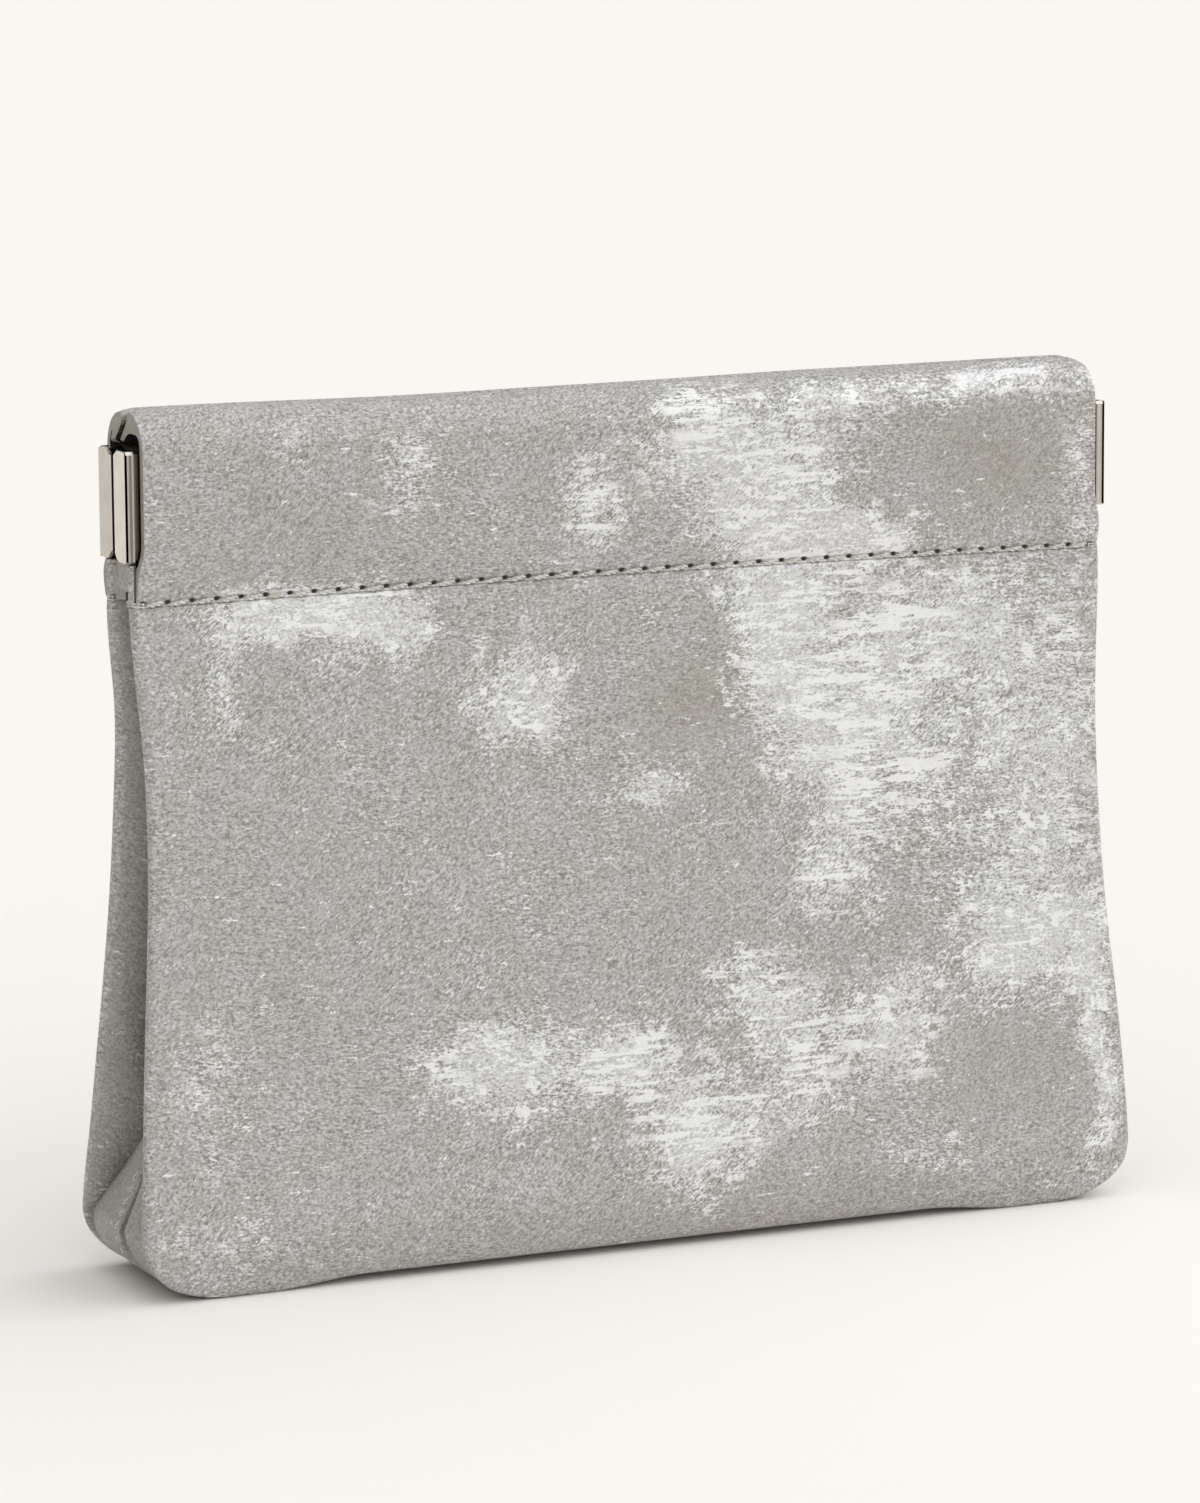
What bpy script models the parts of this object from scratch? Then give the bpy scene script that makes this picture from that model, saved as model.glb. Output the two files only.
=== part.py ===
"""Squeeze-top card pouch: two gusseted leather shells under a sprung flex frame with hinged ends.

Frame: metres, +Z up. X runs along the mouth, the front panel faces -Y, and the origin is the
middle of the base on the surface that the pouch stands on.
"""

import math

import bmesh
import bpy
from mathutils import Vector

# Driving sizes: a 120 mm flex frame with 12 mm strips, measured over its end plates, and the pouch
FRAME_HALF_LENGTH = 0.0593
FRAME_HEIGHT = 0.0120
STITCH_HEIGHT = 0.0757
CHANNEL_HALF_DEPTH = 0.0052
FOOT_HALF_DEPTH = 0.0113

# Leather and clearances
LEATHER = 0.0010
TOUCH_GAP = 0.0003
MERGE_DISTANCE = 0.000001

# Pouch outline, read from the frame at the stitch line, the waist and the foot
STITCH_INSET = 0.00045
STITCH_TUCK = 0.0005
WAIST_DROP = 0.0207
WAIST_INSET = 0.0014
FOOT_HEIGHT = 0.0070
FOOT_FLARE = 0.0013
LEAN_POWER = 1.15
LEAN_LIMIT = 2.0

# Rolled lower edge and base
END_ROLL = 0.0080
PANEL_ROLL = 0.0019
BASE_CORNER_RADIUS = 0.0032
BASE_ARCH = 0.0009
PAD_LENGTH = 0.0141
ARCH_RAMP = 0.0120
BASE_SEAM_INSET = 0.0060

# Folded side gusset
GUSSET_SLACK = 0.0002
GUSSET_APEX = 0.0200
GUSSET_DROP = 0.0010
TRIANGLE_DROP = 0.0030
FOLD_RADIUS = 0.0013
TRIANGLE_BULGE = 0.0003
INNER_FOLD_RADIUS = 0.00015
FOOT_CREASE_SHARE = 0.93
APEX_CREASE_SHARE = 0.10
FOLD_LIMIT_SHARE = 0.45
INNER_CREASE_SHARE = 0.27
CREASE_DRIFT_SHARE = 0.07
CREASE_RUNOUT = 3.4

# Channel that holds each strip
FRAME_LIFT = 0.0045
CHANNEL_END_INSET = 0.0018
CHANNEL_HEADROOM = 0.00455
CREST_DEPTH = 0.0010
CREST_FALL = 0.0012
CREST_EXTRA = 0.0005
SHOULDER_DROP = 0.0002
FLOOR_DROP = 0.0008
CHANNEL_FLOOR_HALF_WIDTH = 0.0003
RETURN_FACE = 0.0003
RETURN_FOOT_FACE = 0.00045
RETURN_SETBACK = 0.0009
SETBACK_REACH = 0.0014
END_DROOP = 0.0005
DROOP_LENGTH = 0.0030

# Spring strip
STRIP_THICKNESS = 0.0006
STRIP_END_INSET = 0.0021
STRIP_CORNER = 0.0015

# Hinged end leaf, folded from sheet
SHEET = 0.00045
PIN_RADIUS = 0.0004
PIN_CLEARANCE = 0.0003
PIN_HEAD_RADIUS = 0.00062
PIN_HEAD_HEIGHT = 0.0003
KNUCKLE_HEIGHT = 0.0030
KNUCKLE_SETBACK = 0.0007
PLATE_CORNER_RADIUS = 0.0007
LEG_CLEARANCE = 0.00035
JOGGLE_START = 0.0009
JOGGLE_END = 0.0015
LEG_LENGTH = 0.0098
LEG_TRIM = 0.0003

# Angles, counts and the first column of the gusset's fold
CURL_START = math.radians(-60)
SMOOTH_ANGLE = math.radians(35)
FOLD_COLUMN = 5
FOLD_STEPS = 5
CURL_STEPS = 10
CORNER_STEPS = 3
ARCH_STEPS = 5
BULGE_STEPS = 3
PIN_STEPS = 20

# Rows and stations, as shares chosen by hand
BODY_ROW_SHARES = (1.0, 0.884, 0.725, 0.536, 0.348, 0.174, 0.0)
GUSSET_ROW_SHARES = (0.77, 0.53, 0.33, 0.17, 0.0)
ROLL_SHARES = (0.3, 0.58, 0.82, 1.0)
BASE_ROW_SHARES = (0.5, 1.0)
PANEL_SHARES = (0.03, 0.12, 0.3, 0.55, 0.8, 1.0)
CHANNEL_STATION_SHARES = (1.0, 0.985, 0.965, 0.94, 0.91, 0.6, 0.3)

# Places that follow from the sizes above
STITCH_HALF_WIDTH = FRAME_HALF_LENGTH - STITCH_INSET
STITCH_HALF_DEPTH = CHANNEL_HALF_DEPTH - STITCH_TUCK
WAIST_HEIGHT = STITCH_HEIGHT - WAIST_DROP
WAIST_HALF_WIDTH = FRAME_HALF_LENGTH - WAIST_INSET
FOOT_HALF_WIDTH = FRAME_HALF_LENGTH + FOOT_FLARE
PAD_INNER_EDGE = FOOT_HALF_WIDTH - PAD_LENGTH
GUSSET_START = FOOT_HEIGHT - GUSSET_DROP
TRIANGLE_FOOT = FOOT_HEIGHT - TRIANGLE_DROP
GUSSET_HALF_WIDTH = FOOT_HALF_DEPTH + GUSSET_SLACK
FRAME_BOTTOM = STITCH_HEIGHT + FRAME_LIFT
FRAME_TOP = FRAME_BOTTOM + FRAME_HEIGHT
FRAME_MIDDLE = FRAME_BOTTOM + FRAME_HEIGHT / 2
CHANNEL_HALF_LENGTH = FRAME_HALF_LENGTH - CHANNEL_END_INSET
CHANNEL_TOP = FRAME_TOP + CHANNEL_HEADROOM
CAVITY_MIDDLE = (CHANNEL_HALF_DEPTH + RETURN_FACE) / 2
CHANNEL_SHOULDER = FRAME_TOP - SHOULDER_DROP
CHANNEL_BULGE_TOP = FRAME_BOTTOM - TOUCH_GAP
CHANNEL_FLOOR = FRAME_BOTTOM - FLOOR_DROP
PIN_TOP = FRAME_TOP + PIN_HEAD_HEIGHT + TOUCH_GAP
STRIP_HALF_LENGTH = FRAME_HALF_LENGTH - STRIP_END_INSET
PLATE_HALF_DEPTH = CHANNEL_HALF_DEPTH - LEATHER
LEG_OFFSET = PLATE_HALF_DEPTH - LEG_CLEARANCE
BORE_RADIUS = PIN_RADIUS + PIN_CLEARANCE
KNUCKLE_RADIUS = BORE_RADIUS + SHEET
PIN_X = FRAME_HALF_LENGTH - KNUCKLE_RADIUS

# name: base colour, metallic, roughness
MATERIALS = {
    "leather": ((0.36, 0.35, 0.33), 0.35, 0.45),
    "spring_steel": ((0.45, 0.44, 0.42), 1.0, 0.30),
    "nickel": ((0.72, 0.69, 0.64), 1.0, 0.12),
}


def smooth(t):
    t = min(max(t, 0.0), 1.0)
    return t * t * (3 - 2 * t)


def mix(a, b, t):
    return a + (b - a) * t


def material(name):
    colour, metallic, roughness = MATERIALS[name]
    found = bpy.data.materials.get(name) or bpy.data.materials.new(name)
    found.use_nodes = True
    shader = found.node_tree.nodes["Principled BSDF"]
    shader.inputs["Base Color"].default_value = (*colour, 1.0)
    shader.inputs["Metallic"].default_value = metallic
    shader.inputs["Roughness"].default_value = roughness
    return found


def add_object(name, bm, material_name):
    bmesh.ops.remove_doubles(bm, verts=bm.verts, dist=MERGE_DISTANCE)
    bmesh.ops.recalc_face_normals(bm, faces=bm.faces)
    mesh = bpy.data.meshes.new(name)
    bm.to_mesh(mesh)
    bm.free()
    mesh.materials.append(material(material_name))
    mesh.shade_smooth()
    mesh.set_sharp_from_angle(angle=SMOOTH_ANGLE)
    obj = bpy.data.objects.new(name, mesh)
    bpy.context.collection.objects.link(obj)
    return obj


def thick_sheet(outer, inner, keep):
    """A closed solid between two point grids, made of the cells that keep(row, column) allows."""
    bm = bmesh.new()
    front = [[bm.verts.new(p) for p in row] for row in outer]
    back = [[bm.verts.new(p) for p in row] for row in inner]
    rows, columns = len(outer) - 1, len(outer[0]) - 1
    kept = {(r, c) for r in range(rows) for c in range(columns) if keep(r, c)}
    for r, c in sorted(kept):
        corners = ((r, c), (r, c + 1), (r + 1, c + 1), (r + 1, c))
        bm.faces.new([front[i][j] for i, j in corners])
        bm.faces.new([back[i][j] for i, j in reversed(corners)])
        beside = ((r - 1, c), (r, c + 1), (r + 1, c), (r, c - 1))
        for side, neighbour in enumerate(beside):
            if neighbour not in kept:
                (ai, aj), (bi, bj) = corners[side], corners[(side + 1) % 4]
                bm.faces.new([front[bi][bj], front[ai][aj], back[ai][aj], back[bi][bj]])
    bmesh.ops.delete(bm, geom=[v for v in bm.verts if not v.link_faces], context="VERTS")
    return bm


def half_width(z):
    if z > WAIST_HEIGHT:
        rise = (z - WAIST_HEIGHT) / (STITCH_HEIGHT - WAIST_HEIGHT)
        return mix(WAIST_HALF_WIDTH, STITCH_HALF_WIDTH, smooth(rise))
    rise = (z - FOOT_HEIGHT) / (WAIST_HEIGHT - FOOT_HEIGHT)
    return mix(FOOT_HALF_WIDTH, WAIST_HALF_WIDTH, smooth(rise))


def half_depth(z):
    fall = min(max((STITCH_HEIGHT - z) / (STITCH_HEIGHT - FOOT_HEIGHT), 0.0), 1.0)
    return mix(STITCH_HALF_DEPTH, FOOT_HALF_DEPTH, fall**LEAN_POWER)


def fold_inset(z):
    """How far the gusset's centre fold lies inside the panel's side edge."""
    if z >= GUSSET_APEX:
        return math.sqrt(GUSSET_HALF_WIDTH**2 - half_depth(z) ** 2)
    at_apex = math.sqrt(GUSSET_HALF_WIDTH**2 - half_depth(GUSSET_APEX) ** 2)
    return at_apex * (z - GUSSET_START) / (GUSSET_APEX - GUSSET_START)


def tangent_angle(centre, radius, point):
    """Direction, seen from the fold's centre, in which the line to point leaves the fold."""
    dx, dy = point[0] - centre[0], point[1] - centre[1]
    reach = math.hypot(dx, dy)
    if reach <= radius:
        return math.pi
    return min(math.atan2(dy, dx) + math.acos(radius / reach), math.pi)


def section(z, roll, inset):
    """Half outline at one height, from the left seam to the middle of the front panel, as (x, y).
    roll is 0 on the side walls and turns to 1 where they have become the base."""
    shrink = 1 - math.cos(roll * math.pi / 2)
    side = half_width(z) - inset - (END_ROLL - inset) * shrink
    depth = half_depth(z) - inset - (PANEL_ROLL - inset) * shrink
    rise = triangle_rise(z) * (1 - smooth(roll * CREASE_RUNOUT))
    crease = mix(FOOT_CREASE_SHARE, APEX_CREASE_SHARE, rise) * half_depth(z)
    fold = max(fold_inset(z), 0.0)
    gusset_lean = min(GUSSET_HALF_WIDTH / half_depth(z), LEAN_LIMIT)
    push = inset * (gusset_lean - 1)
    outer_radius = min(FOLD_RADIUS, FOLD_LIMIT_SHARE * (half_depth(z) - crease))
    radius = max(outer_radius - inset, INNER_FOLD_RADIUS)
    crease = min(crease + INNER_CREASE_SHARE * inset, FOOT_CREASE_SHARE * (depth - radius))
    if roll > 0:
        radius = mix(radius, BASE_CORNER_RADIUS, shrink)
        crease = min(crease, FOOT_CREASE_SHARE * (depth - radius))
        fold = fold * (1 - roll)
        push = push * (1 - roll)
    centre = (-side + radius, -depth + radius)
    seam = (-side + fold + push - TRIANGLE_BULGE * math.sin(math.pi * rise), -TOUCH_GAP / 2)
    valley = (-side + (fold + push) * (1 - CREASE_DRIFT_SHARE * rise), -crease)
    end_angle = tangent_angle(centre, radius, valley)
    arc = []
    for step in range(FOLD_STEPS + 1):
        angle = mix(end_angle - 2 * math.pi, -math.pi / 2, step / FOLD_STEPS)
        arc.append((centre[0] + radius * math.cos(angle), centre[1] + radius * math.sin(angle)))
    points = [seam, midpoint(seam, valley, 1 / 2), valley]
    points += [midpoint(valley, arc[0], share) for share in (1 / 3, 2 / 3)]
    points += arc
    points += [(mix(arc[-1][0], 0.0, share), -depth) for share in PANEL_SHARES]
    return points


def triangle_rise(z):
    """0 at the foot of the base triangle and 1 from its apex up, in a straight ramp."""
    return min(max((z - TRIANGLE_FOOT) / (GUSSET_APEX - TRIANGLE_FOOT), 0.0), 1.0)


def midpoint(a, b, share):
    return (mix(a[0], b[0], share), mix(a[1], b[1], share))


def arch(x):
    """Rise of the base between its two pads."""
    return BASE_ARCH * smooth((PAD_INNER_EDGE - abs(x)) / ARCH_RAMP)


def full_row(points, z, lift=0.0):
    """Mirrors a half outline to the right side and gives each point its height."""
    row = points + [(-x, y) for x, y in reversed(points[:-1])]
    return [(x, y, z + lift * arch(x)) for x, y in row]


def seam_row(first, z):
    """The base's centre seam, with a point for each point of the row that it ends."""
    count = len(first)
    reach = [0.0]
    for a, b in zip(first, first[1:]):
        reach.append(reach[-1] + math.hypot(b[0] - a[0], b[1] - a[1]))
    end = -first[0][0] - BASE_SEAM_INSET
    xs = [mix(-end, end, reach[i] / reach[-1]) for i in range(count)]
    return [(x, -TOUCH_GAP / 2, z + arch(x)) for x in xs]


def shell_grid(inset):
    """Rows of points from the stitch line down the walls, round the foot and along the base."""
    heights = [mix(GUSSET_APEX, STITCH_HEIGHT - TOUCH_GAP, s) for s in BODY_ROW_SHARES]
    heights += [mix(FOOT_HEIGHT, GUSSET_APEX, s) for s in GUSSET_ROW_SHARES]
    rows = [full_row(section(heights[0], 0, inset), CHANNEL_BULGE_TOP)]
    rows += [full_row(section(z, 0, inset), z) for z in heights]
    for roll in ROLL_SHARES:
        turn = roll * math.pi / 2
        z = inset + (FOOT_HEIGHT - inset) * (1 - math.sin(turn))
        rows.append(full_row(section(FOOT_HEIGHT, roll, inset), z, math.sin(turn)))
    last = rows[-1]
    seam = seam_row(last, inset)
    for share in BASE_ROW_SHARES:
        between = [tuple(mix(a, b, share) for a, b in zip(p, q)) for p, q in zip(last, seam)]
        rows.append([(x, y, inset + arch(x)) for x, y, z in between])
    return rows


def build_shell(name, facing):
    """One leather: panel, half of each gusset and half of the base, in one piece. Its top row is
    kept only at the folds, as the tabs that stand beside the channel's ends."""
    outer, inner = shell_grid(0.0), shell_grid(LEATHER)
    columns = len(outer[0]) - 1
    tab = range(FOLD_COLUMN, FOLD_COLUMN + FOLD_STEPS - 1)

    def keep(row, column):
        return row > 0 or column in tab or columns - 1 - column in tab

    if facing > 0:
        outer = [[(x, -y, z) for x, y, z in row] for row in outer]
        inner = [[(x, -y, z) for x, y, z in row] for row in inner]
    return add_object(name, thick_sheet(outer, inner, keep), "leather")


def channel_profile():
    """Matching outer and inner loops of the folded channel, as (depth, height) with depth positive
    towards its own panel."""
    outer, inner = [], []
    cavity_outer = CHANNEL_HALF_DEPTH - LEATHER
    cavity_inner = RETURN_FACE + LEATHER
    rise = CHANNEL_TOP - CHANNEL_SHOULDER
    cavity_rise = rise - LEATHER - CREST_EXTRA
    for step in range(BULGE_STEPS + 1):
        t = step / BULGE_STEPS
        depth = mix(STITCH_HALF_DEPTH, CHANNEL_HALF_DEPTH, math.sin(t * math.pi / 2))
        near = mix(CAVITY_MIDDLE + CHANNEL_FLOOR_HALF_WIDTH, cavity_outer, t)
        outer.append((depth, mix(STITCH_HEIGHT, CHANNEL_BULGE_TOP, t)))
        inner.append((near, mix(CHANNEL_FLOOR, CHANNEL_BULGE_TOP, t * t)))
    for step in range(2 * ARCH_STEPS + 1):
        angle = step / ARCH_STEPS * math.pi / 2
        side, up = math.cos(angle), math.sin(angle)
        if side > 0:
            outer.append((mix(CREST_DEPTH, CHANNEL_HALF_DEPTH, side), CHANNEL_SHOULDER + up * rise))
        else:
            outer.append((mix(CREST_DEPTH, RETURN_FACE, -side), CHANNEL_TOP - (1 - up) * CREST_FALL))
        near = CAVITY_MIDDLE + side * (cavity_outer - CAVITY_MIDDLE)
        inner.append((near, CHANNEL_SHOULDER + up * cavity_rise))
    outer.append((RETURN_FACE, PIN_TOP))
    inner.append((cavity_inner, CHANNEL_SHOULDER - TOUCH_GAP))
    for step in range(BULGE_STEPS + 1):
        t = 1 - step / BULGE_STEPS
        depth = mix(RETURN_FOOT_FACE, RETURN_FACE, t)
        near = mix(CAVITY_MIDDLE - CHANNEL_FLOOR_HALF_WIDTH, cavity_inner, t)
        outer.append((depth, mix(STITCH_HEIGHT, CHANNEL_BULGE_TOP, t)))
        inner.append((near, mix(CHANNEL_FLOOR, CHANNEL_BULGE_TOP, t * t)))
    return outer, inner


def build_channel(name, facing):
    """The top of one leather, folded over its strip and sewn down along the stitch line."""
    outer, inner = channel_profile()
    stations = [-s for s in CHANNEL_STATION_SHARES] + [0.0]
    stations += reversed(CHANNEL_STATION_SHARES)

    def place(depth, height, station):
        to_return = 1 - (depth - RETURN_FACE) / (CAVITY_MIDDLE - RETURN_FACE)
        beside_pin = (PIN_TOP + SETBACK_REACH - height) / SETBACK_REACH
        x = station * (CHANNEL_HALF_LENGTH - RETURN_SETBACK * smooth(to_return) * smooth(beside_pin))
        into_end = (abs(x) - (CHANNEL_HALF_LENGTH - DROOP_LENGTH)) / DROOP_LENGTH
        lift = max(height - FRAME_BOTTOM, 0.0) / (CHANNEL_TOP - FRAME_BOTTOM)
        return (x, facing * depth, height - END_DROOP * smooth(into_end) * lift)

    bm = bmesh.new()
    outside = [[bm.verts.new(place(*p, s)) for p in outer] for s in stations]
    inside = [[bm.verts.new(place(*p, s)) for p in inner] for s in stations]
    count = len(outer)
    for i in range(count):
        j = (i + 1) % count
        for a in range(len(stations) - 1):
            b = a + 1
            bm.faces.new([outside[a][i], outside[a][j], outside[b][j], outside[b][i]])
            bm.faces.new([inside[b][i], inside[b][j], inside[a][j], inside[a][i]])
        for end in (0, -1):
            bm.faces.new([outside[end][j], outside[end][i], inside[end][i], inside[end][j]])
    return add_object(name, bm, "leather")


def build_strip(name, facing):
    """Flat spring steel with rounded corners, lying in its channel against the leaves' legs."""
    face = LEG_OFFSET - SHEET - TOUCH_GAP
    bm = bmesh.new()
    corners = []
    for sx, sz, start in ((1, 1, 0), (-1, 1, 1), (-1, -1, 2), (1, -1, 3)):
        cx = sx * (STRIP_HALF_LENGTH - STRIP_CORNER)
        cz = FRAME_MIDDLE + sz * (FRAME_HEIGHT / 2 - STRIP_CORNER)
        for step in range(CORNER_STEPS + 1):
            angle = (start + step / CORNER_STEPS) * math.pi / 2
            across, up = STRIP_CORNER * math.cos(angle), STRIP_CORNER * math.sin(angle)
            corners.append((cx + across, cz + up))
    near = [bm.verts.new((x, facing * face, z)) for x, z in corners]
    far = [bm.verts.new((x, facing * (face - STRIP_THICKNESS), z)) for x, z in corners]
    bm.faces.new(near)
    bm.faces.new(list(reversed(far)))
    for i in range(len(corners)):
        j = (i + 1) % len(corners)
        bm.faces.new([near[j], near[i], far[i], far[j]])
    return add_object(name, bm, "spring_steel")


def leaf_path():
    """Plan of the leaf's outer face, seen from the pin: the knuckle's curl, the end plate and the leg.
    The left front leaf's plate runs towards -Y, and its leg towards +X."""
    edge = -KNUCKLE_RADIUS
    notch = -(KNUCKLE_RADIUS + TOUCH_GAP)
    points = []
    for step in range(CURL_STEPS + 1):
        angle = mix(CURL_START, math.pi, step / CURL_STEPS)
        points.append((KNUCKLE_RADIUS * math.cos(angle), KNUCKLE_RADIUS * math.sin(angle)))
    points.append((edge, notch))
    cx = edge + PLATE_CORNER_RADIUS
    cy = -PLATE_HALF_DEPTH + PLATE_CORNER_RADIUS
    for step in range(CORNER_STEPS + 1):
        angle = math.pi + step / CORNER_STEPS * math.pi / 2
        across, along = PLATE_CORNER_RADIUS * math.cos(angle), PLATE_CORNER_RADIUS * math.sin(angle)
        points.append((cx + across, cy + along))
    points.append((edge + JOGGLE_START, -PLATE_HALF_DEPTH))
    points.append((edge + JOGGLE_END, -LEG_OFFSET))
    points.append((edge + LEG_LENGTH, -LEG_OFFSET))
    return points


def offset_path(points, distance):
    """The same path moved to its left by distance, with mitred corners."""
    moved = []
    for i, p in enumerate(points):
        before = Vector(points[max(i - 1, 0)])
        here = Vector(p)
        after = Vector(points[min(i + 1, len(points) - 1)])
        arrive = (here - before).normalized() if i else (after - here).normalized()
        leave = (after - here).normalized() if i < len(points) - 1 else arrive
        bisector = (arrive + leave).normalized()
        normal = Vector((-bisector.y, bisector.x))
        stretch = distance / max(bisector.dot(arrive), 1 / 2)
        moved.append(tuple(here + normal * stretch))
    return moved


def build_leaf(name, end, facing, knuckles_at_ends, parent):
    """One folded end leaf. knuckles_at_ends puts its knuckles at the top and bottom of the pin,
    and otherwise in the middle, between the other leaf's."""
    outer = leaf_path()
    inner = offset_path(outer, SHEET)
    hinge_columns = CURL_STEPS + 1
    leg_start = len(outer) - 3
    split = FRAME_HEIGHT / 2 - KNUCKLE_SETBACK - KNUCKLE_HEIGHT
    levels = (
        FRAME_BOTTOM,
        FRAME_MIDDLE - split - TOUCH_GAP / 2,
        FRAME_MIDDLE - split + TOUCH_GAP / 2,
        FRAME_MIDDLE + split - TOUCH_GAP / 2,
        FRAME_MIDDLE + split + TOUCH_GAP / 2,
        FRAME_TOP,
    )
    knuckle_rows = (0, 4) if knuckles_at_ends else (2,)

    def row(path, level):
        points = []
        for i, (x, y) in enumerate(path):
            trim = 0.0
            if i < hinge_columns:
                trim = KNUCKLE_SETBACK
            elif i >= leg_start:
                trim = LEG_TRIM
            z = levels[level]
            z += trim if level == 0 else 0.0
            z -= trim if level == len(levels) - 1 else 0.0
            points.append((-end * x, -facing * y, z))
        return points

    def keep(level, column):
        return column >= hinge_columns or level in knuckle_rows

    outer_rows = [row(outer, level) for level in range(len(levels))]
    inner_rows = [row(inner, level) for level in range(len(levels))]
    bm = thick_sheet(outer_rows, inner_rows, keep)
    leaf = add_object(name, bm, "nickel")
    leaf.parent = parent
    return leaf


def build_pin(name, parent):
    """Headed hinge pin, turned from its half profile."""
    bottom = FRAME_BOTTOM + KNUCKLE_SETBACK
    head_base = FRAME_TOP - KNUCKLE_SETBACK + TOUCH_GAP
    profile = (
        (0.0, bottom),
        (PIN_RADIUS, bottom),
        (PIN_RADIUS, head_base),
        (PIN_HEAD_RADIUS, head_base),
        (PIN_HEAD_RADIUS, head_base + PIN_HEAD_HEIGHT / 2),
        (PIN_RADIUS, head_base + PIN_HEAD_HEIGHT),
        (0.0, head_base + PIN_HEAD_HEIGHT),
    )
    bm = bmesh.new()
    chain = [bm.verts.new((r, 0, z)) for r, z in profile]
    edges = [bm.edges.new((a, b)) for a, b in zip(chain, chain[1:])]
    bmesh.ops.spin(
        bm,
        geom=chain + edges,
        cent=(0, 0, 0),
        axis=(0, 0, 1),
        angle=math.tau,
        steps=PIN_STEPS,
        use_merge=True,
    )
    pin = add_object(name, bm, "nickel")
    pin.parent = parent
    return pin


def hinge_empty(name, x):
    empty = bpy.data.objects.new(name, None)
    empty.location = (x, 0, 0)
    bpy.context.collection.objects.link(empty)
    return empty


def main():
    for old in list(bpy.data.objects):
        bpy.data.objects.remove(old, do_unlink=True)
    for side, facing in (("front", -1), ("rear", 1)):
        build_shell(f"{side}_leather", facing)
        build_channel(f"{side}_channel", facing)
        build_strip(f"{side}_strip", facing)
    for side, end in (("left", -1), ("right", 1)):
        hinge = hinge_empty(f"{side}_hinge_axis", end * PIN_X)
        build_pin(f"{side}_pin", hinge)
        build_leaf(f"{side}_front_leaf", end, -1, True, hinge)
        build_leaf(f"{side}_rear_leaf", end, 1, False, hinge)
    bpy.context.view_layer.update()


main()
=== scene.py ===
"""Dressed card pouch: fine leather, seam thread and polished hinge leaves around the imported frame.

Frame: metres, +Z up, X along the mouth, front panel facing -Y. Lengths below are in millimetres and
are turned into metres where a mesh is made.
"""

import math

import bpy
import numpy as np
from mathutils import Matrix, Vector, noise


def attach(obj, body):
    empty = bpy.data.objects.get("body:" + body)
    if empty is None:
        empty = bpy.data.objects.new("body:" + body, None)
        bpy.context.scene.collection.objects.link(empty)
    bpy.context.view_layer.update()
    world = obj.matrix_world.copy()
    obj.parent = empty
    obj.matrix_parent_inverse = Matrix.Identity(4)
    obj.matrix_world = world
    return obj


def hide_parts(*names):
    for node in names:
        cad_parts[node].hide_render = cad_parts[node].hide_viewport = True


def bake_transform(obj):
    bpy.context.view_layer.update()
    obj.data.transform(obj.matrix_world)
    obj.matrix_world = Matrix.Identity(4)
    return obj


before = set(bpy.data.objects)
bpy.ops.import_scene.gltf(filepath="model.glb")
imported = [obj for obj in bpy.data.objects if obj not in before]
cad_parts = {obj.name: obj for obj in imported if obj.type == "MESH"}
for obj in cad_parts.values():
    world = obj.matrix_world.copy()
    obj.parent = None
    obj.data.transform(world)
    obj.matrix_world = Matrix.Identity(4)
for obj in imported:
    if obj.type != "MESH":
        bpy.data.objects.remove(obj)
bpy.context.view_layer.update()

MM = 0.001

# Without a seed of its own the vector noise is another one in each run
NOISE_SEED = 7
noise.seed_set(NOISE_SEED)

# The part's own sizes
LEATHER = 1.0
SEAM_GAP = 0.02
FRAME_HALF_LENGTH = 59.3
FRAME_BOTTOM = 80.2
FRAME_TOP = 92.2
STITCH_HEIGHT = 75.7
STITCH_HALF_WIDTH = 58.85
STITCH_HALF_DEPTH = 4.7
WAIST_HEIGHT = 55.0
WAIST_HALF_WIDTH = 57.9
FOOT_HEIGHT = 7.0
FOOT_HALF_WIDTH = 60.6
FOOT_HALF_DEPTH = 11.3
LEAN_POWER = 1.15
LEAN_LIMIT = 2.0
END_ROLL = 8.0
PANEL_ROLL = 1.9
BASE_CORNER_RADIUS = 3.2
BASE_ARCH = 0.9
PAD_INNER_EDGE = 46.5
ARCH_RAMP = 12.0
BASE_SEAM_INSET = 6.0
GUSSET_HALF_WIDTH = 11.5
GUSSET_APEX = 20.0
GUSSET_START = 6.0
TRIANGLE_FOOT = 4.0
FOLD_RADIUS = 0.9
TRIANGLE_BULGE = 0.3
INNER_FOLD_RADIUS = 0.15
FOOT_CREASE_SHARE = 0.93
APEX_CREASE_SHARE = 0.10
FOLD_LIMIT_SHARE = 0.45
INNER_CREASE_SHARE = 0.27
CREASE_DRIFT_SHARE = 0.07
CREASE_RUNOUT = 3.4
TAB_HEIGHT = 79.9
CHANNEL_HALF_LENGTH = 57.5
CHANNEL_HALF_DEPTH = 5.2
CHANNEL_TOP = 96.75
CREST_DEPTH = 0.75
CREST_FALL = 0.4
CREST_SHARE = 0.4
CREST_EXTRA = 1.4
ROOF_SQUARENESS = 0.55
CHANNEL_SHOULDER = 92.0
CHANNEL_BULGE_TOP = 79.9
CHANNEL_FLOOR = 79.4
CHANNEL_FLOOR_HALF_WIDTH = 0.3
RETURN_FACE = 0.3
RETURN_FOOT_FACE = 0.45
RETURN_SETBACK = 0.9
SETBACK_REACH = 0.4
SETBACK_TOP = 92.5
FLARE_TOP = 82.0
FLARE_REACH = 4.0
CREST_LEAN = 2.7
LEAN_START = 0.3
LEAN_HEIGHT = 4.1
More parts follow.
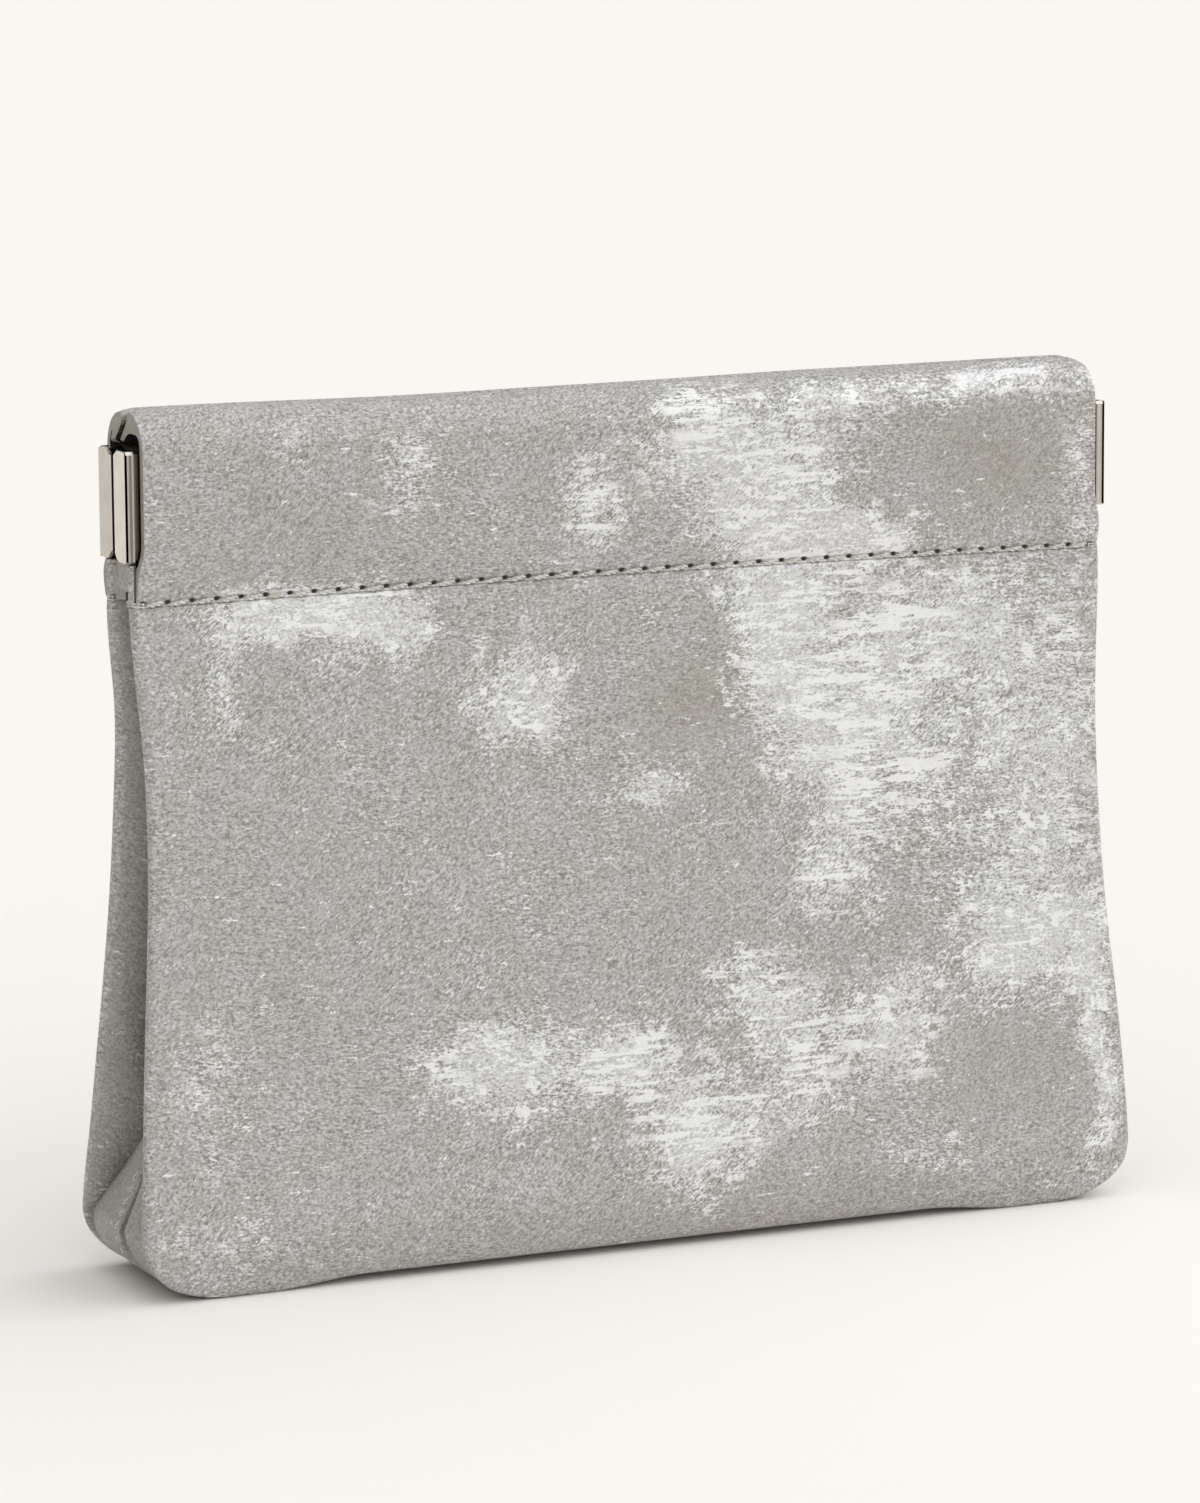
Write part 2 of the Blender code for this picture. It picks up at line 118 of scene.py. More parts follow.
LEAN_LENGTH = 7.0
STRIP_THICKNESS = 0.6
STRIP_HALF_LENGTH = 57.2
STRIP_CORNER = 1.5
STRIP_FACE = 3.1
PIN_X = 58.15
KNUCKLE_RADIUS = 1.15
KNUCKLE_HEIGHT = 3.0
KNUCKLE_SETBACK = 0.7
PLATE_HALF_DEPTH = 4.2
LEG_OFFSET = 3.85
LEG_LENGTH = 9.8
LEG_TRIM = 0.3

# Mesh density
SEAM_STEPS = 14
WALL_STEPS = 16
FOLD_STEPS = 10
PANEL_STEPS = 84
TRIANGLE_ROWS = 20
ROLL_ROWS = 16
BASE_ROWS = 8
TAB_ROWS = 4
TAB_COLUMNS = 7
CHANNEL_STATIONS = 170
BULGE_STEPS = 12
FACE_STEPS = 14
ARCH_STEPS = 12

# Hand-made character of this pouch
SEAM_RISE = 0.4
END_SPREAD = {(-1, -1): 0.03, (-1, 1): 0.40, (1, -1): 0.36, (1, 1): 0.36}
END_FLARE = {-1: 0.75, 1: 0.6}
END_FALL = {-1: 0.08, 1: 0.15}
FALL_LENGTH = 2.2
CREST_DIP = 0.3
DIP_X = -22.0
DIP_WIDTH = 24.0
REAR_TUCK = 0.3
REAR_DENT = 0.35
TOP_TILT = {-1: 0.28, 1: 0.45}
RIGHT_TUCK = 0.7
RIGHT_SPREAD = 0.13
LEFT_SPREAD = 0.3
SHOULDER_EASE = 0.03
SHOULDER_REACH = 9.0
WAVE = 0.16
WAVE_LENGTHS = (27, 19)
CREASE_DEPTH = 0.3
CREASE_PUFF = 0.4
TAB_REACH = {-1: -1.9, 1: 1.5}
TAB_TURN = 0.35
SEAM_DRIFT = 3.0
RIDGE_HEIGHT = 0.5
RIDGE_OFFSET = 1.1
RIDGE_WIDTH = 0.7
BASE_STITCH = 1.45
BASE_STITCH_ASIDE = 1.7
BASE_STITCH_LOW = 2.4
BASE_STITCH_HIGH = 13.0
PINCH_LENGTH = 3.0
SEAM_CREASE = 0.28
SEAM_CREASE_REACH = 0.7
STITCHES = 41
THREAD_RADIUS = 0.285
THREAD_PROUD = 0.33
THREAD_SUNK = 0.6
THREAD_TAPER = 0.42
THREAD_SLANT = 0.36
WRAP_X = 57.75
WRAP_SIZE = (1.0, 1.28)
WRAP_SET_BACK = 1.5
WRAP_RADIUS = 0.15
STITCH_REACH = 57.6
PUCKER = 0.16
# Painted shade of the needle holes, around them, and painted shadow in a groove under the seam's thread
HOLE_WIDE = 0.36
HOLE_TALL = 0.29
HOLE_LIFT = 0.16
HOLE_SHADE_WIDE = 0.62
HOLE_SHADE_TALL = 0.27
GROOVE_DROP = 0.34
GROOVE_TALL = 0.15

# Fine end leaf, in plan from the pin, with the plate at the left and its leg running right
ROLL = 0.5
PLATE_SHEET = 0.35
GROOVE_HALF = {-1: 0.3, 1: 0.42}
NOTCH_WIDE = 1.2
NOTCH_TALL = 1.15
NOTCH_TOP_WIDE = 1.6
NOTCH_TOP_TALL = 0.8
LEAF_EDGE_FRONT = 0.35
LEAF_EDGE_REAR = 1.0
CORNER_SQUASH = 0.55
BARREL = 0.53
BARREL_BORE = 0.42
BLOCK_REACH = 1.9
SLOT_START = 0.03
SLOT_END = 0.31
SLOT_DEPTH = 0.5
BAND_END = 1.04
STREAK_START = 0.52
STREAK_END = 0.84
CAP = 0.34
LIP = 0.16
CAP_PROUD = 0.02
# Painted shading of the hinge leaves, as a share of the bare nickel colour: lit and shaded plates and rolls,
# painted reflections on the band and its streak
SHADE_FRONT_PLATE = 0.92
SHADE_REAR_PLATE = 0.70
SHADE_ROLL_FRONT = 0.5
SHADE_ROLL_REAR = 0.85
REFLECTION_BAND = 0.66
REFLECTION_STREAK = 0.30
REFLECTION_BAND_RIGHT = 0.80
PLATE_PROUD = {-1: 0.0, 1: 0.3}
# Painted shade on the legs, barrels and blocks, and near black in the slots
SHADE_LEG = 0.26
SHADE_SLOT = 0.01

# Camera solved from the photograph, in millimetres, degrees and the photograph's pixels
CAMERA_AZIMUTH = 23.941
CAMERA_ELEVATION = 9.155
CAMERA_ROLL = -0.388
CAMERA_DISTANCE = 651.58
CAMERA_TARGET = np.array((-2.175, 0.0, 55.25))
CAMERA_FOCUS = 5811.17
CAMERA_CLIP = (0.01, 60.0)
PHOTO_HEIGHT = 1503
SENSOR = 36.0

# Stage
FLOOR_REACH = 12.0
PAPER = (249.5, 247.0, 242.3)
SKY_FROM = (0.55, -0.62, 0.62)
SKY_BACK = -0.6
SKY_LOW = 0.12
SKY_HIGH = 1.72
SKY_LEVEL = 0.889
HORIZON_LOW = -0.05
HORIZON_HIGH = 0.4
STUDIO_WHITE = 0.45

# Dashes of the leather's surface: cells a metre along, across and through, and their slant
DASH_SCALE = (1900.0, 5600.0, 60.0)
DASH_SLANT = -0.65

# How far the edges of the patches wander, and over what length
PATCH_WANDER = 2.2
WANDER_LENGTH = 9

# Bright foil patches: x, height, half width, half height, strength
FOIL_PATCHES = (
    (17, 85, 10, 10, 0.95), (31, 94, 11, 2.5, 0.6), (47, 95.5, 12, 2.4, 0.6), (29, 78, 7, 3, 0.9),
    (56, 84, 2.6, 9, 0.42), (-41, 93, 2, 1.5, 0.6), (-28, 88, 4, 7, 0.45), (-5, 84, 4, 6, 0.6),
    (7, 91, 6, 5, 0.65), (-41, 73.8, 8, 2.8, 1.0), (-29, 72, 7.5, 4.2, 0.85), (-48, 66, 2, 6, 0.45),
    (-14, 62, 5.5, 6, 0.8), (1, 52, 5, 3, 0.95), (16, 67, 6, 10, 0.95), (26, 56, 9, 9, 0.8),
    (34, 68, 19, 6, 0.5),
    (46, 51, 13, 21, 0.65), (49, 30, 8, 6, 0.9), (31, 22, 6, 6.5, 0.9), (16, 25, 7, 5.5, 0.7),
    (-18, 22, 9, 5, 1.0), (-4, 22, 6, 4, 0.85), (5, 12, 7.5, 7, 0.9), (18, 16, 6, 4.5, 0.55),
    (57, 18, 2.2, 12, 1.0), (35, 8, 6.5, 3, 0.55), (24, 41, 6, 7, 0.5), (12, 31, 5, 4.5, 0.5),
    (-54, 24, 5, 7, 0.35), (-51, 6, 7, 3, 0.35),
)

# Duller, olive patches in the same form
DULL_PATCHES = (
    (45, 87, 9, 6, 1.0), (34, 79, 4, 3, 0.5), (9, 62, 7, 6, 0.7), (4, 57, 7, 7, 0.5), (24, 33, 5, 4, 0.4),
    (46, 18, 9, 7, 0.5), (-40, 82, 16, 5, 0.45), (-45, 40, 12, 12, 0.25), (12, 3, 25, 4, 0.5),
    (-30, 2, 20, 4, 0.3),
)


def smooth(t):
    t = np.clip(t, 0.0, 1.0)
    return t * t * (3 - 2 * t)


def mix(a, b, t):
    return a + (b - a) * t


def half_width(z):
    if z > WAIST_HEIGHT:
        rise = (z - WAIST_HEIGHT) / (STITCH_HEIGHT - WAIST_HEIGHT)
        return mix(WAIST_HALF_WIDTH, STITCH_HALF_WIDTH, smooth(rise))
    return mix(FOOT_HALF_WIDTH, WAIST_HALF_WIDTH, smooth((z - FOOT_HEIGHT) / (WAIST_HEIGHT - FOOT_HEIGHT)))


def half_depth(z):
    fall = min(max((STITCH_HEIGHT - z) / (STITCH_HEIGHT - FOOT_HEIGHT), 0.0), 1.0)
    return mix(STITCH_HALF_DEPTH, FOOT_HALF_DEPTH, fall**LEAN_POWER)


def fold_inset(z):
    if z >= GUSSET_APEX:
        return math.sqrt(GUSSET_HALF_WIDTH**2 - half_depth(z) ** 2)
    at_apex = math.sqrt(GUSSET_HALF_WIDTH**2 - half_depth(GUSSET_APEX) ** 2)
    return at_apex * (z - GUSSET_START) / (GUSSET_APEX - GUSSET_START)


def triangle_rise(z):
    return min(max((z - TRIANGLE_FOOT) / (GUSSET_APEX - TRIANGLE_FOOT), 0.0), 1.0)


def tangent_angle(centre, radius, point):
    dx, dy = point[0] - centre[0], point[1] - centre[1]
    reach = math.hypot(dx, dy)
    if reach <= radius:
        return math.pi
    return min(math.atan2(dy, dx) + math.acos(radius / reach), math.pi)


def seam_drift(z, roll):
    """How far the seam of the base triangle runs towards the front."""
    return SEAM_DRIFT * smooth((17 - z) / 6) * (1 - smooth((roll - 0.4) / 0.6))


def section(z, roll, inset, facing):
    """Half outline at one height, from the left seam to the middle of the front panel."""
    shrink = 1 - math.cos(roll * math.pi / 2)
    side = half_width(z) - inset - (END_ROLL - inset) * shrink
    depth = half_depth(z) - inset - (PANEL_ROLL - inset) * shrink
    rise = triangle_rise(z) * (1 - smooth(roll * CREASE_RUNOUT))
    crease = mix(FOOT_CREASE_SHARE, APEX_CREASE_SHARE, rise) * half_depth(z)
    fold = max(fold_inset(z), 0.0)
    push = inset * (min(GUSSET_HALF_WIDTH / half_depth(z), LEAN_LIMIT) - 1)
    outer_radius = min(FOLD_RADIUS, FOLD_LIMIT_SHARE * (half_depth(z) - crease))
    radius = max(outer_radius - inset, INNER_FOLD_RADIUS)
    crease = min(crease + INNER_CREASE_SHARE * inset, FOOT_CREASE_SHARE * (depth - radius))
    if roll > 0:
        radius = mix(radius, BASE_CORNER_RADIUS, shrink)
        crease = min(crease, FOOT_CREASE_SHARE * (depth - radius))
        fold = fold * (1 - roll)
        push = push * (1 - roll)
    centre = (-side + radius, -depth + radius)
    bulge = TRIANGLE_BULGE * math.sin(math.pi * rise)
    drift = seam_drift(z, roll)
    seam = np.array((-side + fold + push - bulge, -SEAM_GAP / 2 + facing * drift))
    valley = np.array((-side + (fold + push) * (1 - CREASE_DRIFT_SHARE * rise), -crease))
    end_angle = tangent_angle(centre, radius, valley)
    angles = np.linspace(end_angle - 2 * math.pi, -math.pi / 2, FOLD_STEPS + 1)
    arc = np.stack([centre[0] + radius * np.cos(angles), centre[1] + radius * np.sin(angles)], axis=1)
    points = [mix(seam, valley, (k / SEAM_STEPS) ** 1.8) for k in range(SEAM_STEPS)]
    points += [mix(valley, arc[0], (k / WALL_STEPS) ** 1.2) for k in range(WALL_STEPS)]
    points += list(arc)
    points += [np.array((mix(arc[-1][0], 0.0, k / PANEL_STEPS), -depth)) for k in range(1, PANEL_STEPS + 1)]
    points = np.array(points)
    last = SEAM_STEPS + WALL_STEPS
    ease = smooth((z - GUSSET_APEX + 8) / 8)
    for _ in range(3):
        blurred = points[:-2] / 4 + points[1:-1] / 2 + points[2:] / 4
        points[1:last] = mix(points[1:last], blurred[: last - 1], ease)
    return points


def crease_shift(z, roll, count):
    """How far the gusset is drawn in at its crease over the base triangle and puffed out beside it."""
    fade = smooth((z - 2) / 3) * smooth((GUSSET_APEX + 3 - z) / 6) * (1 - roll) ** 0.5
    shift = np.zeros(count)
    t = np.linspace(0, 1, WALL_STEPS + 1)
    shift[SEAM_STEPS:][: WALL_STEPS + 1] = CREASE_DEPTH * (1 - t) ** 6 - CREASE_PUFF * np.sin(math.pi * t)
    t = np.linspace(0, 1, SEAM_STEPS + 1) ** 1.8
    shift[: SEAM_STEPS + 1] += CREASE_DEPTH * t**14
    shift[SEAM_STEPS] = CREASE_DEPTH
    return shift * fade


def ridge_shift(y, z):
    """The turned edge of the rear leather, standing up beside the seam of the base triangle."""
    fade = smooth((GUSSET_APEX - z) / 6) * smooth((z - 1) / 3)
    return -RIDGE_HEIGHT * np.exp(-(((y[0] - y - RIDGE_OFFSET) / RIDGE_WIDTH) ** 2)) * fade


def arch(x):
    return BASE_ARCH * smooth((PAD_INNER_EDGE - np.abs(x)) / ARCH_RAMP)


def mirrored(half):
    other = half[-2::-1].copy()
    other[:, 0] *= -1
    return np.concatenate([half, other])


def path_lengths(points):
    steps = np.linalg.norm(np.diff(points, axis=0), axis=1)
    return np.concatenate([[0.0], np.cumsum(steps)])


def wave(x, z, seed):
    """Slow waviness of the leather, from -1 to 1, the same on both faces of the sheet."""
    wide, tall = WAVE_LENGTHS
    return np.array([noise.noise(Vector((a / wide, b / tall, seed))) for a, b in zip(x, z)])


def bow(x):
    """How much of the mouth's travel a point takes: none at the pins and all in the middle."""
    return np.cos(np.clip(np.abs(x) / PIN_X, 0, 1) * math.pi / 2)


def recess_shade_amount(grid):
    """Painted shade for each place of the body: darker in the deep half of the gusset and along its seams."""
    wall = (np.arange(WALL_STEPS) / WALL_STEPS) ** 1.2
    seam = (np.arange(SEAM_STEPS) / SEAM_STEPS) ** 1.8
    amounts = []
    for row in grid:
        z = row[0, 2]
        at_wall = np.clip((1 - wall) / mix(1.2, 0.66, smooth((z - 14) / 14)), 0, 1) ** 1.15
        at_seam = np.maximum(mix(0.6 * seam**6, 1.0, smooth((z - 17) / 4)), np.exp(-((seam / 0.05) ** 2)))
        half = np.concatenate([at_seam, at_wall, np.zeros(FOLD_STEPS + 1 + PANEL_STEPS)])
        half = half * smooth((z - 4) / 9) * mix(1.0, 0.3, smooth((z - 35) / 40))
        half = half * smooth((STITCH_HEIGHT + 0.4 - z) / 0.8)
        half[:3] = np.maximum(half[:3], 0.75 * smooth((z - 2) / 5))
        amounts.append(np.concatenate([half, half[-2::-1]]))
    return np.array(amounts)


def column_share():
    """0 at the gusset's centre seam and 1 from its fold to the middle of the panel."""
    walls = SEAM_STEPS + WALL_STEPS
    half = np.concatenate([smooth(np.arange(walls) / walls), np.ones(FOLD_STEPS + 1 + PANEL_STEPS)])
    return np.concatenate([half, half[-2::-1]])


def stitch_x(i):
    return mix(-STITCH_REACH, STITCH_REACH, i / STITCHES)


def pucker(x):
    """1 at each needle hole and 0 between them."""
    at = (x + STITCH_REACH) / (2 * STITCH_REACH) * STITCHES
    return np.cos((at - np.round(at)) * math.pi) ** 6


def soften(points, depth_limit, facing_seed):
    """Eases the panel towards its side edges, waves it, and sinks it along the seam."""
    x, y, z = points.T
    if facing_seed > 0:
        x = x - np.sign(x) * ridge_shift(y, z)
    edge = np.array([half_width(min(max(h, FOOT_HEIGHT), STITCH_HEIGHT)) for h in z])
    into_shoulder = smooth((np.abs(x) - (edge - SHOULDER_REACH)) / SHOULDER_REACH)
    share = np.clip(np.abs(y) / depth_limit, 0, 1)
    y = y * (1 - SHOULDER_EASE * into_shoulder)
    fade = smooth((z - 4) / 14) * smooth((STITCH_HEIGHT + 1 - z) / 12)
    y = y - WAVE * wave(x, z, facing_seed) * share * fade
    near_seam = np.exp(-np.clip((STITCH_HEIGHT - z) / SEAM_CREASE_REACH, 0, 9) ** 1.3)
    y = y + (SEAM_CREASE + PUCKER * pucker(x)) * near_seam * share
    z = z + SEAM_RISE * (1 - (x / STITCH_HALF_WIDTH) ** 2) * smooth((z - 30) / 45)
    tuck = (RIGHT_TUCK * smooth((60 - z) / 30) - RIGHT_SPREAD) * smooth(x / 50)
    spread = LEFT_SPREAD * smooth((20 - z) / 15) * smooth((z - 1) / 6) * smooth(-x / 50)
    if facing_seed > 0:
        dent = REAR_TUCK * smooth((z - 4) / 14) * smooth((56 - z) / 30)
        dent = dent + REAR_DENT * np.exp(-(((z - 64) / 7) ** 2))
        spread = spread - dent * smooth(-x / 50)
    return np.stack([x - tuck - spread, y, z], axis=1)


def body_heights():
    fine = [0, 0.2, 0.45, 0.8, 1.25, 1.8, 2.5]
    rest = np.linspace(STITCH_HEIGHT - 3.4, GUSSET_APEX, 58)
    return [STITCH_HEIGHT - f for f in fine] + list(rest)


def tab_outline(inset, facing):
    """Outline over the stitch line, where the gusset's top lies flat against the channel's end."""
    half = section(STITCH_HEIGHT, 0, inset, facing)
    first = SEAM_STEPS + WALL_STEPS
    corner = half[first].copy()
    for k in range(1, TAB_COLUMNS + 1):
        t = k / TAB_COLUMNS
        half[first - k] = (corner[0] + TAB_TURN * t * t, mix(corner[1], TAB_REACH[facing], t))
    return mirrored(half)


def body_grid(inset, seed):
    """Rows of one leather from the tabs over the stitch line down to the seam under the base."""
    heights = body_heights()
    walls = [(z, 0.0) for z in heights]
    walls += [(z, 0.0) for z in np.linspace(GUSSET_APEX, FOOT_HEIGHT, TRIANGLE_ROWS + 1)[1:]]
    walls += [(FOOT_HEIGHT, r) for r in np.linspace(0, 1, ROLL_ROWS + 1)[1:]]
    rows, across, down = [], [], []
    top = tab_outline(inset, seed)
    for k in range(TAB_ROWS):
        rows.append((top.copy(), mix(TAB_HEIGHT, STITCH_HEIGHT, k / TAB_ROWS), 0.0))
    for z, roll in walls:
        turn = roll * math.pi / 2
        height = z if roll == 0 else inset + (FOOT_HEIGHT - inset) * (1 - math.sin(turn))
        rows.append((mirrored(section(z, roll, inset, seed)), height, math.sin(turn) if roll else 0.0))
    grid = []
    for outline, height, lift in rows:
        shift = crease_shift(height, smooth(lift * 1.5), len(outline) // 2 + 1)
        outline[:, 0] += np.concatenate([shift, -shift[-2::-1]])
        level = height + lift * arch(outline[:, 0])
        grid.append(np.column_stack([outline, np.broadcast_to(level, len(outline))]))
    last = grid[-1]
    reach = path_lengths(last[:, :2])
    end = -last[0][0] - BASE_SEAM_INSET
    seam_x = mix(-end, end, reach / reach[-1])
    seam = np.column_stack([seam_x, np.full(len(last), -SEAM_GAP / 2), np.zeros(len(last))])
    for k in range(1, BASE_ROWS + 1):
        between = mix(last, seam, k / BASE_ROWS)
        between[:, 2] = inset + arch(between[:, 0])
        grid.append(between)
    hide_v = [g[:, 2].mean() for g in grid[: -BASE_ROWS - ROLL_ROWS]]
    for k in range(ROLL_ROWS + BASE_ROWS):
        before, here = grid[len(hide_v) - 1], grid[len(hide_v)]
        middle = len(here) // 2
        hide_v.append(hide_v[-1] - np.linalg.norm(here[middle] - before[middle]))
    hide, soft = [], []
    for row, v in zip(grid, hide_v):
        reach = path_lengths(row)
        middle = reach[len(reach) // 2]
        hide.append(np.column_stack([reach - middle, np.full(len(row), v)]))
        limit = max(np.abs(row[:, 1]).max(), 1.0)
        soft.append(soften(row, limit, seed))
    return np.array(soft), np.array(hide)


def keep_tabs(rows, columns):
    first = SEAM_STEPS + WALL_STEPS
    tab = np.zeros(columns, bool)
    tab[first - TAB_COLUMNS : first + FOLD_STEPS - 2] = True
    tab |= tab[::-1]
    kept = np.ones((rows, columns), bool)
    kept[:TAB_ROWS] = tab
    return kept


def sheet_mesh(name, outer, inner, kept, materials, attributes, weights):
    """A closed sheet between two point grids. Face 0 is the outer material, 1 the inner one and 2
    the cut edge."""
    rows, columns = kept.shape
    count = (rows + 1) * (columns + 1)
    index = np.arange(count).reshape(rows + 1, columns + 1)
    faces, slots = [], []
    for r in range(rows):
        for c in range(columns):
            if not kept[r, c]:
                continue
            ring = ((r, c), (r, c + 1), (r + 1, c + 1), (r + 1, c))
            faces.append([int(index[p]) for p in ring])
            slots.append(0)
            faces.append([int(index[p]) + count for p in reversed(ring)])
            slots.append(1)
            for side, (i, j) in enumerate(((r - 1, c), (r, c + 1), (r + 1, c), (r, c - 1))):
                if 0 <= i < rows and 0 <= j < columns and kept[i, j]:
                    continue
                a, b = int(index[ring[side]]), int(index[ring[(side + 1) % 4]])
                faces.append([b, a, a + count, b + count])
                slots.append(2)
    points = np.concatenate([outer.reshape(-1, 3), inner.reshape(-1, 3)])
    used = np.unique(np.concatenate([np.array(f) for f in faces]))
    renumber = np.full(len(points), -1)
    renumber[used] = np.arange(len(used))
    faces = [[int(renumber[i]) for i in f] for f in faces]
    obj = new_object(name, points[used], faces, materials, slots)
    for key, values in attributes.items():
        add_attribute(obj, key, np.concatenate([values.reshape(count, -1)] * 2)[used])
    return obj, np.concatenate([weights.reshape(-1)] * 2)[used]


def new_object(name, points, faces, materials, slots=None, sharp=40):
    mesh = bpy.data.meshes.new(name)
    mesh.from_pydata((np.asarray(points) * MM).tolist(), [], faces)
    for material in materials:
        mesh.materials.append(material)
    if slots is not None:
        mesh.polygons.foreach_set("material_index", np.array(slots, np.int32))
    mesh.update()
    mesh.shade_smooth()
    mesh.set_sharp_from_angle(angle=math.radians(sharp))
    obj = bpy.data.objects.new(name, mesh)
    bpy.context.scene.collection.objects.link(obj)
    return obj


def add_attribute(obj, name, values):
    values = np.asarray(values, np.float32)
    if values.shape[1] == 1:
        attribute = obj.data.attributes.new(name, "FLOAT", "POINT")
        attribute.data.foreach_set("value", values.reshape(-1))
    else:
        attribute = obj.data.attributes.new(name, "FLOAT_VECTOR", "POINT")
        attribute.data.foreach_set("vector", values.reshape(-1))


def patch_amount(u, v, facing, patches):
    """How strong the patches are at a place on the hide. The rear has the same hand, turned round."""
    if facing > 0:
        u, v = -u + 9, 84 - v
    shift = [
        noise.noise_vector(Vector((a / WANDER_LENGTH, b / WANDER_LENGTH, 3.0 * facing)))
        for a, b in zip(u, v)
    ]
    u = u + np.array([s.x for s in shift]) * PATCH_WANDER
    v = v + np.array([s.y for s in shift]) * PATCH_WANDER
    total = np.zeros(len(u))
    for x, z, wide, tall, strength in patches:
        total += strength * np.exp(-(np.abs((u - x) / wide) ** 2.4 + np.abs((v - z) / tall) ** 2.4))
    return np.clip(total, 0, 1.2)


def upright_amount(u):
    """1 where the foil was brushed up and down, near the right edge of the front."""
    return smooth((u - 52) / 5)


def hide_attributes(hide, facing):
    u, v = hide[..., 0].reshape(-1), hide[..., 1].reshape(-1)
    at = np.column_stack([u, v, np.full(len(u), 40.0 * facing)]) * MM
    return {
        "hide_at": at,
        "foil": patch_amount(u, v, facing, FOIL_PATCHES)[:, None],
        "dull_and_shade": patch_amount(u, v, facing, DULL_PATCHES)[:, None],
        "upright": upright_amount(u)[:, None],
    }


def bow_with_mouth(obj):
    """Bakes a piece's transform into its mesh."""
    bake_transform(obj)


def build_body(name, facing, materials):
    outer, hide = body_grid(0.0, facing)
    inner, _ = body_grid(LEATHER, facing)
    rows, columns = outer.shape[0] - 1, outer.shape[1] - 1
    weights = bow(outer[..., 0]) * smooth((outer[..., 2] - 12) / (STITCH_HEIGHT - 12)) * column_share()
    if facing > 0:
        for grid in (outer, inner):
            grid[..., 1] *= -1
    kept = keep_tabs(rows, columns)
    attributes = hide_attributes(hide, facing)
    # Painted shade in the gusset's crease and along its seams
    attributes["recess_shade"] = recess_shade_amount(outer).reshape(-1, 1)
    # The gusset is painted duller and darker than the panels, a painted shade for the folded-in side;
    # elsewhere this attribute carries the dull patches
    side = np.broadcast_to(1 - column_share() > 0, outer.shape[:2]).reshape(-1, 1)
    attributes["dull_and_shade"] = np.maximum(attributes["dull_and_shade"], 0.9 * side)
    obj, flat = sheet_mesh(name, outer, inner, kept, materials, attributes, weights)
    if facing > 0:
        obj.data.flip_normals()
    return obj, flat, outer


def base_seam_path(grid, end):
    """The line of stitches on the rear leather's turned edge, from high to low."""
    line = []
    for row in grid[TAB_ROWS:]:
        part = (row if end < 0 else row[::-1])[: SEAM_STEPS + 1]
        if not BASE_STITCH_LOW < part[0, 2] < BASE_STITCH_HIGH:
            continue
        y = part[0, 1] + BASE_STITCH_ASIDE
        line.append([np.interp(y, part[:, 1], part[:, 0]), y, np.interp(y, part[:, 1], part[:, 2])])
    return np.array(line)


def build_base_thread(name, grid, material):
    """Small stitches beside the seam of the base triangle, at both ends of the pouch."""
    pieces = []
    for end in (-1, 1):
        line = base_seam_path(grid, end)
        reach = path_lengths(line)
        for i in range(int(reach[-1] / BASE_STITCH)):
            path = []
            for k in range(9):
                t = k / 8
                at = (i + mix(0.12, 0.88, t)) * BASE_STITCH
                x, y, z = (np.interp(at, reach, line[:, axis]) for axis in range(3))
                out = mix(-0.22, 0.16, math.sin(math.pi * t) ** 0.5)
                path.append((x + end * out, y + 0.25 * (t - 0.5), z))
            pieces += twisted(path, 0.27)
    points, faces = join_pieces(pieces)
    obj = new_object(name, points, faces, [material], sharp=80)
    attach(obj, "bag")
    return obj


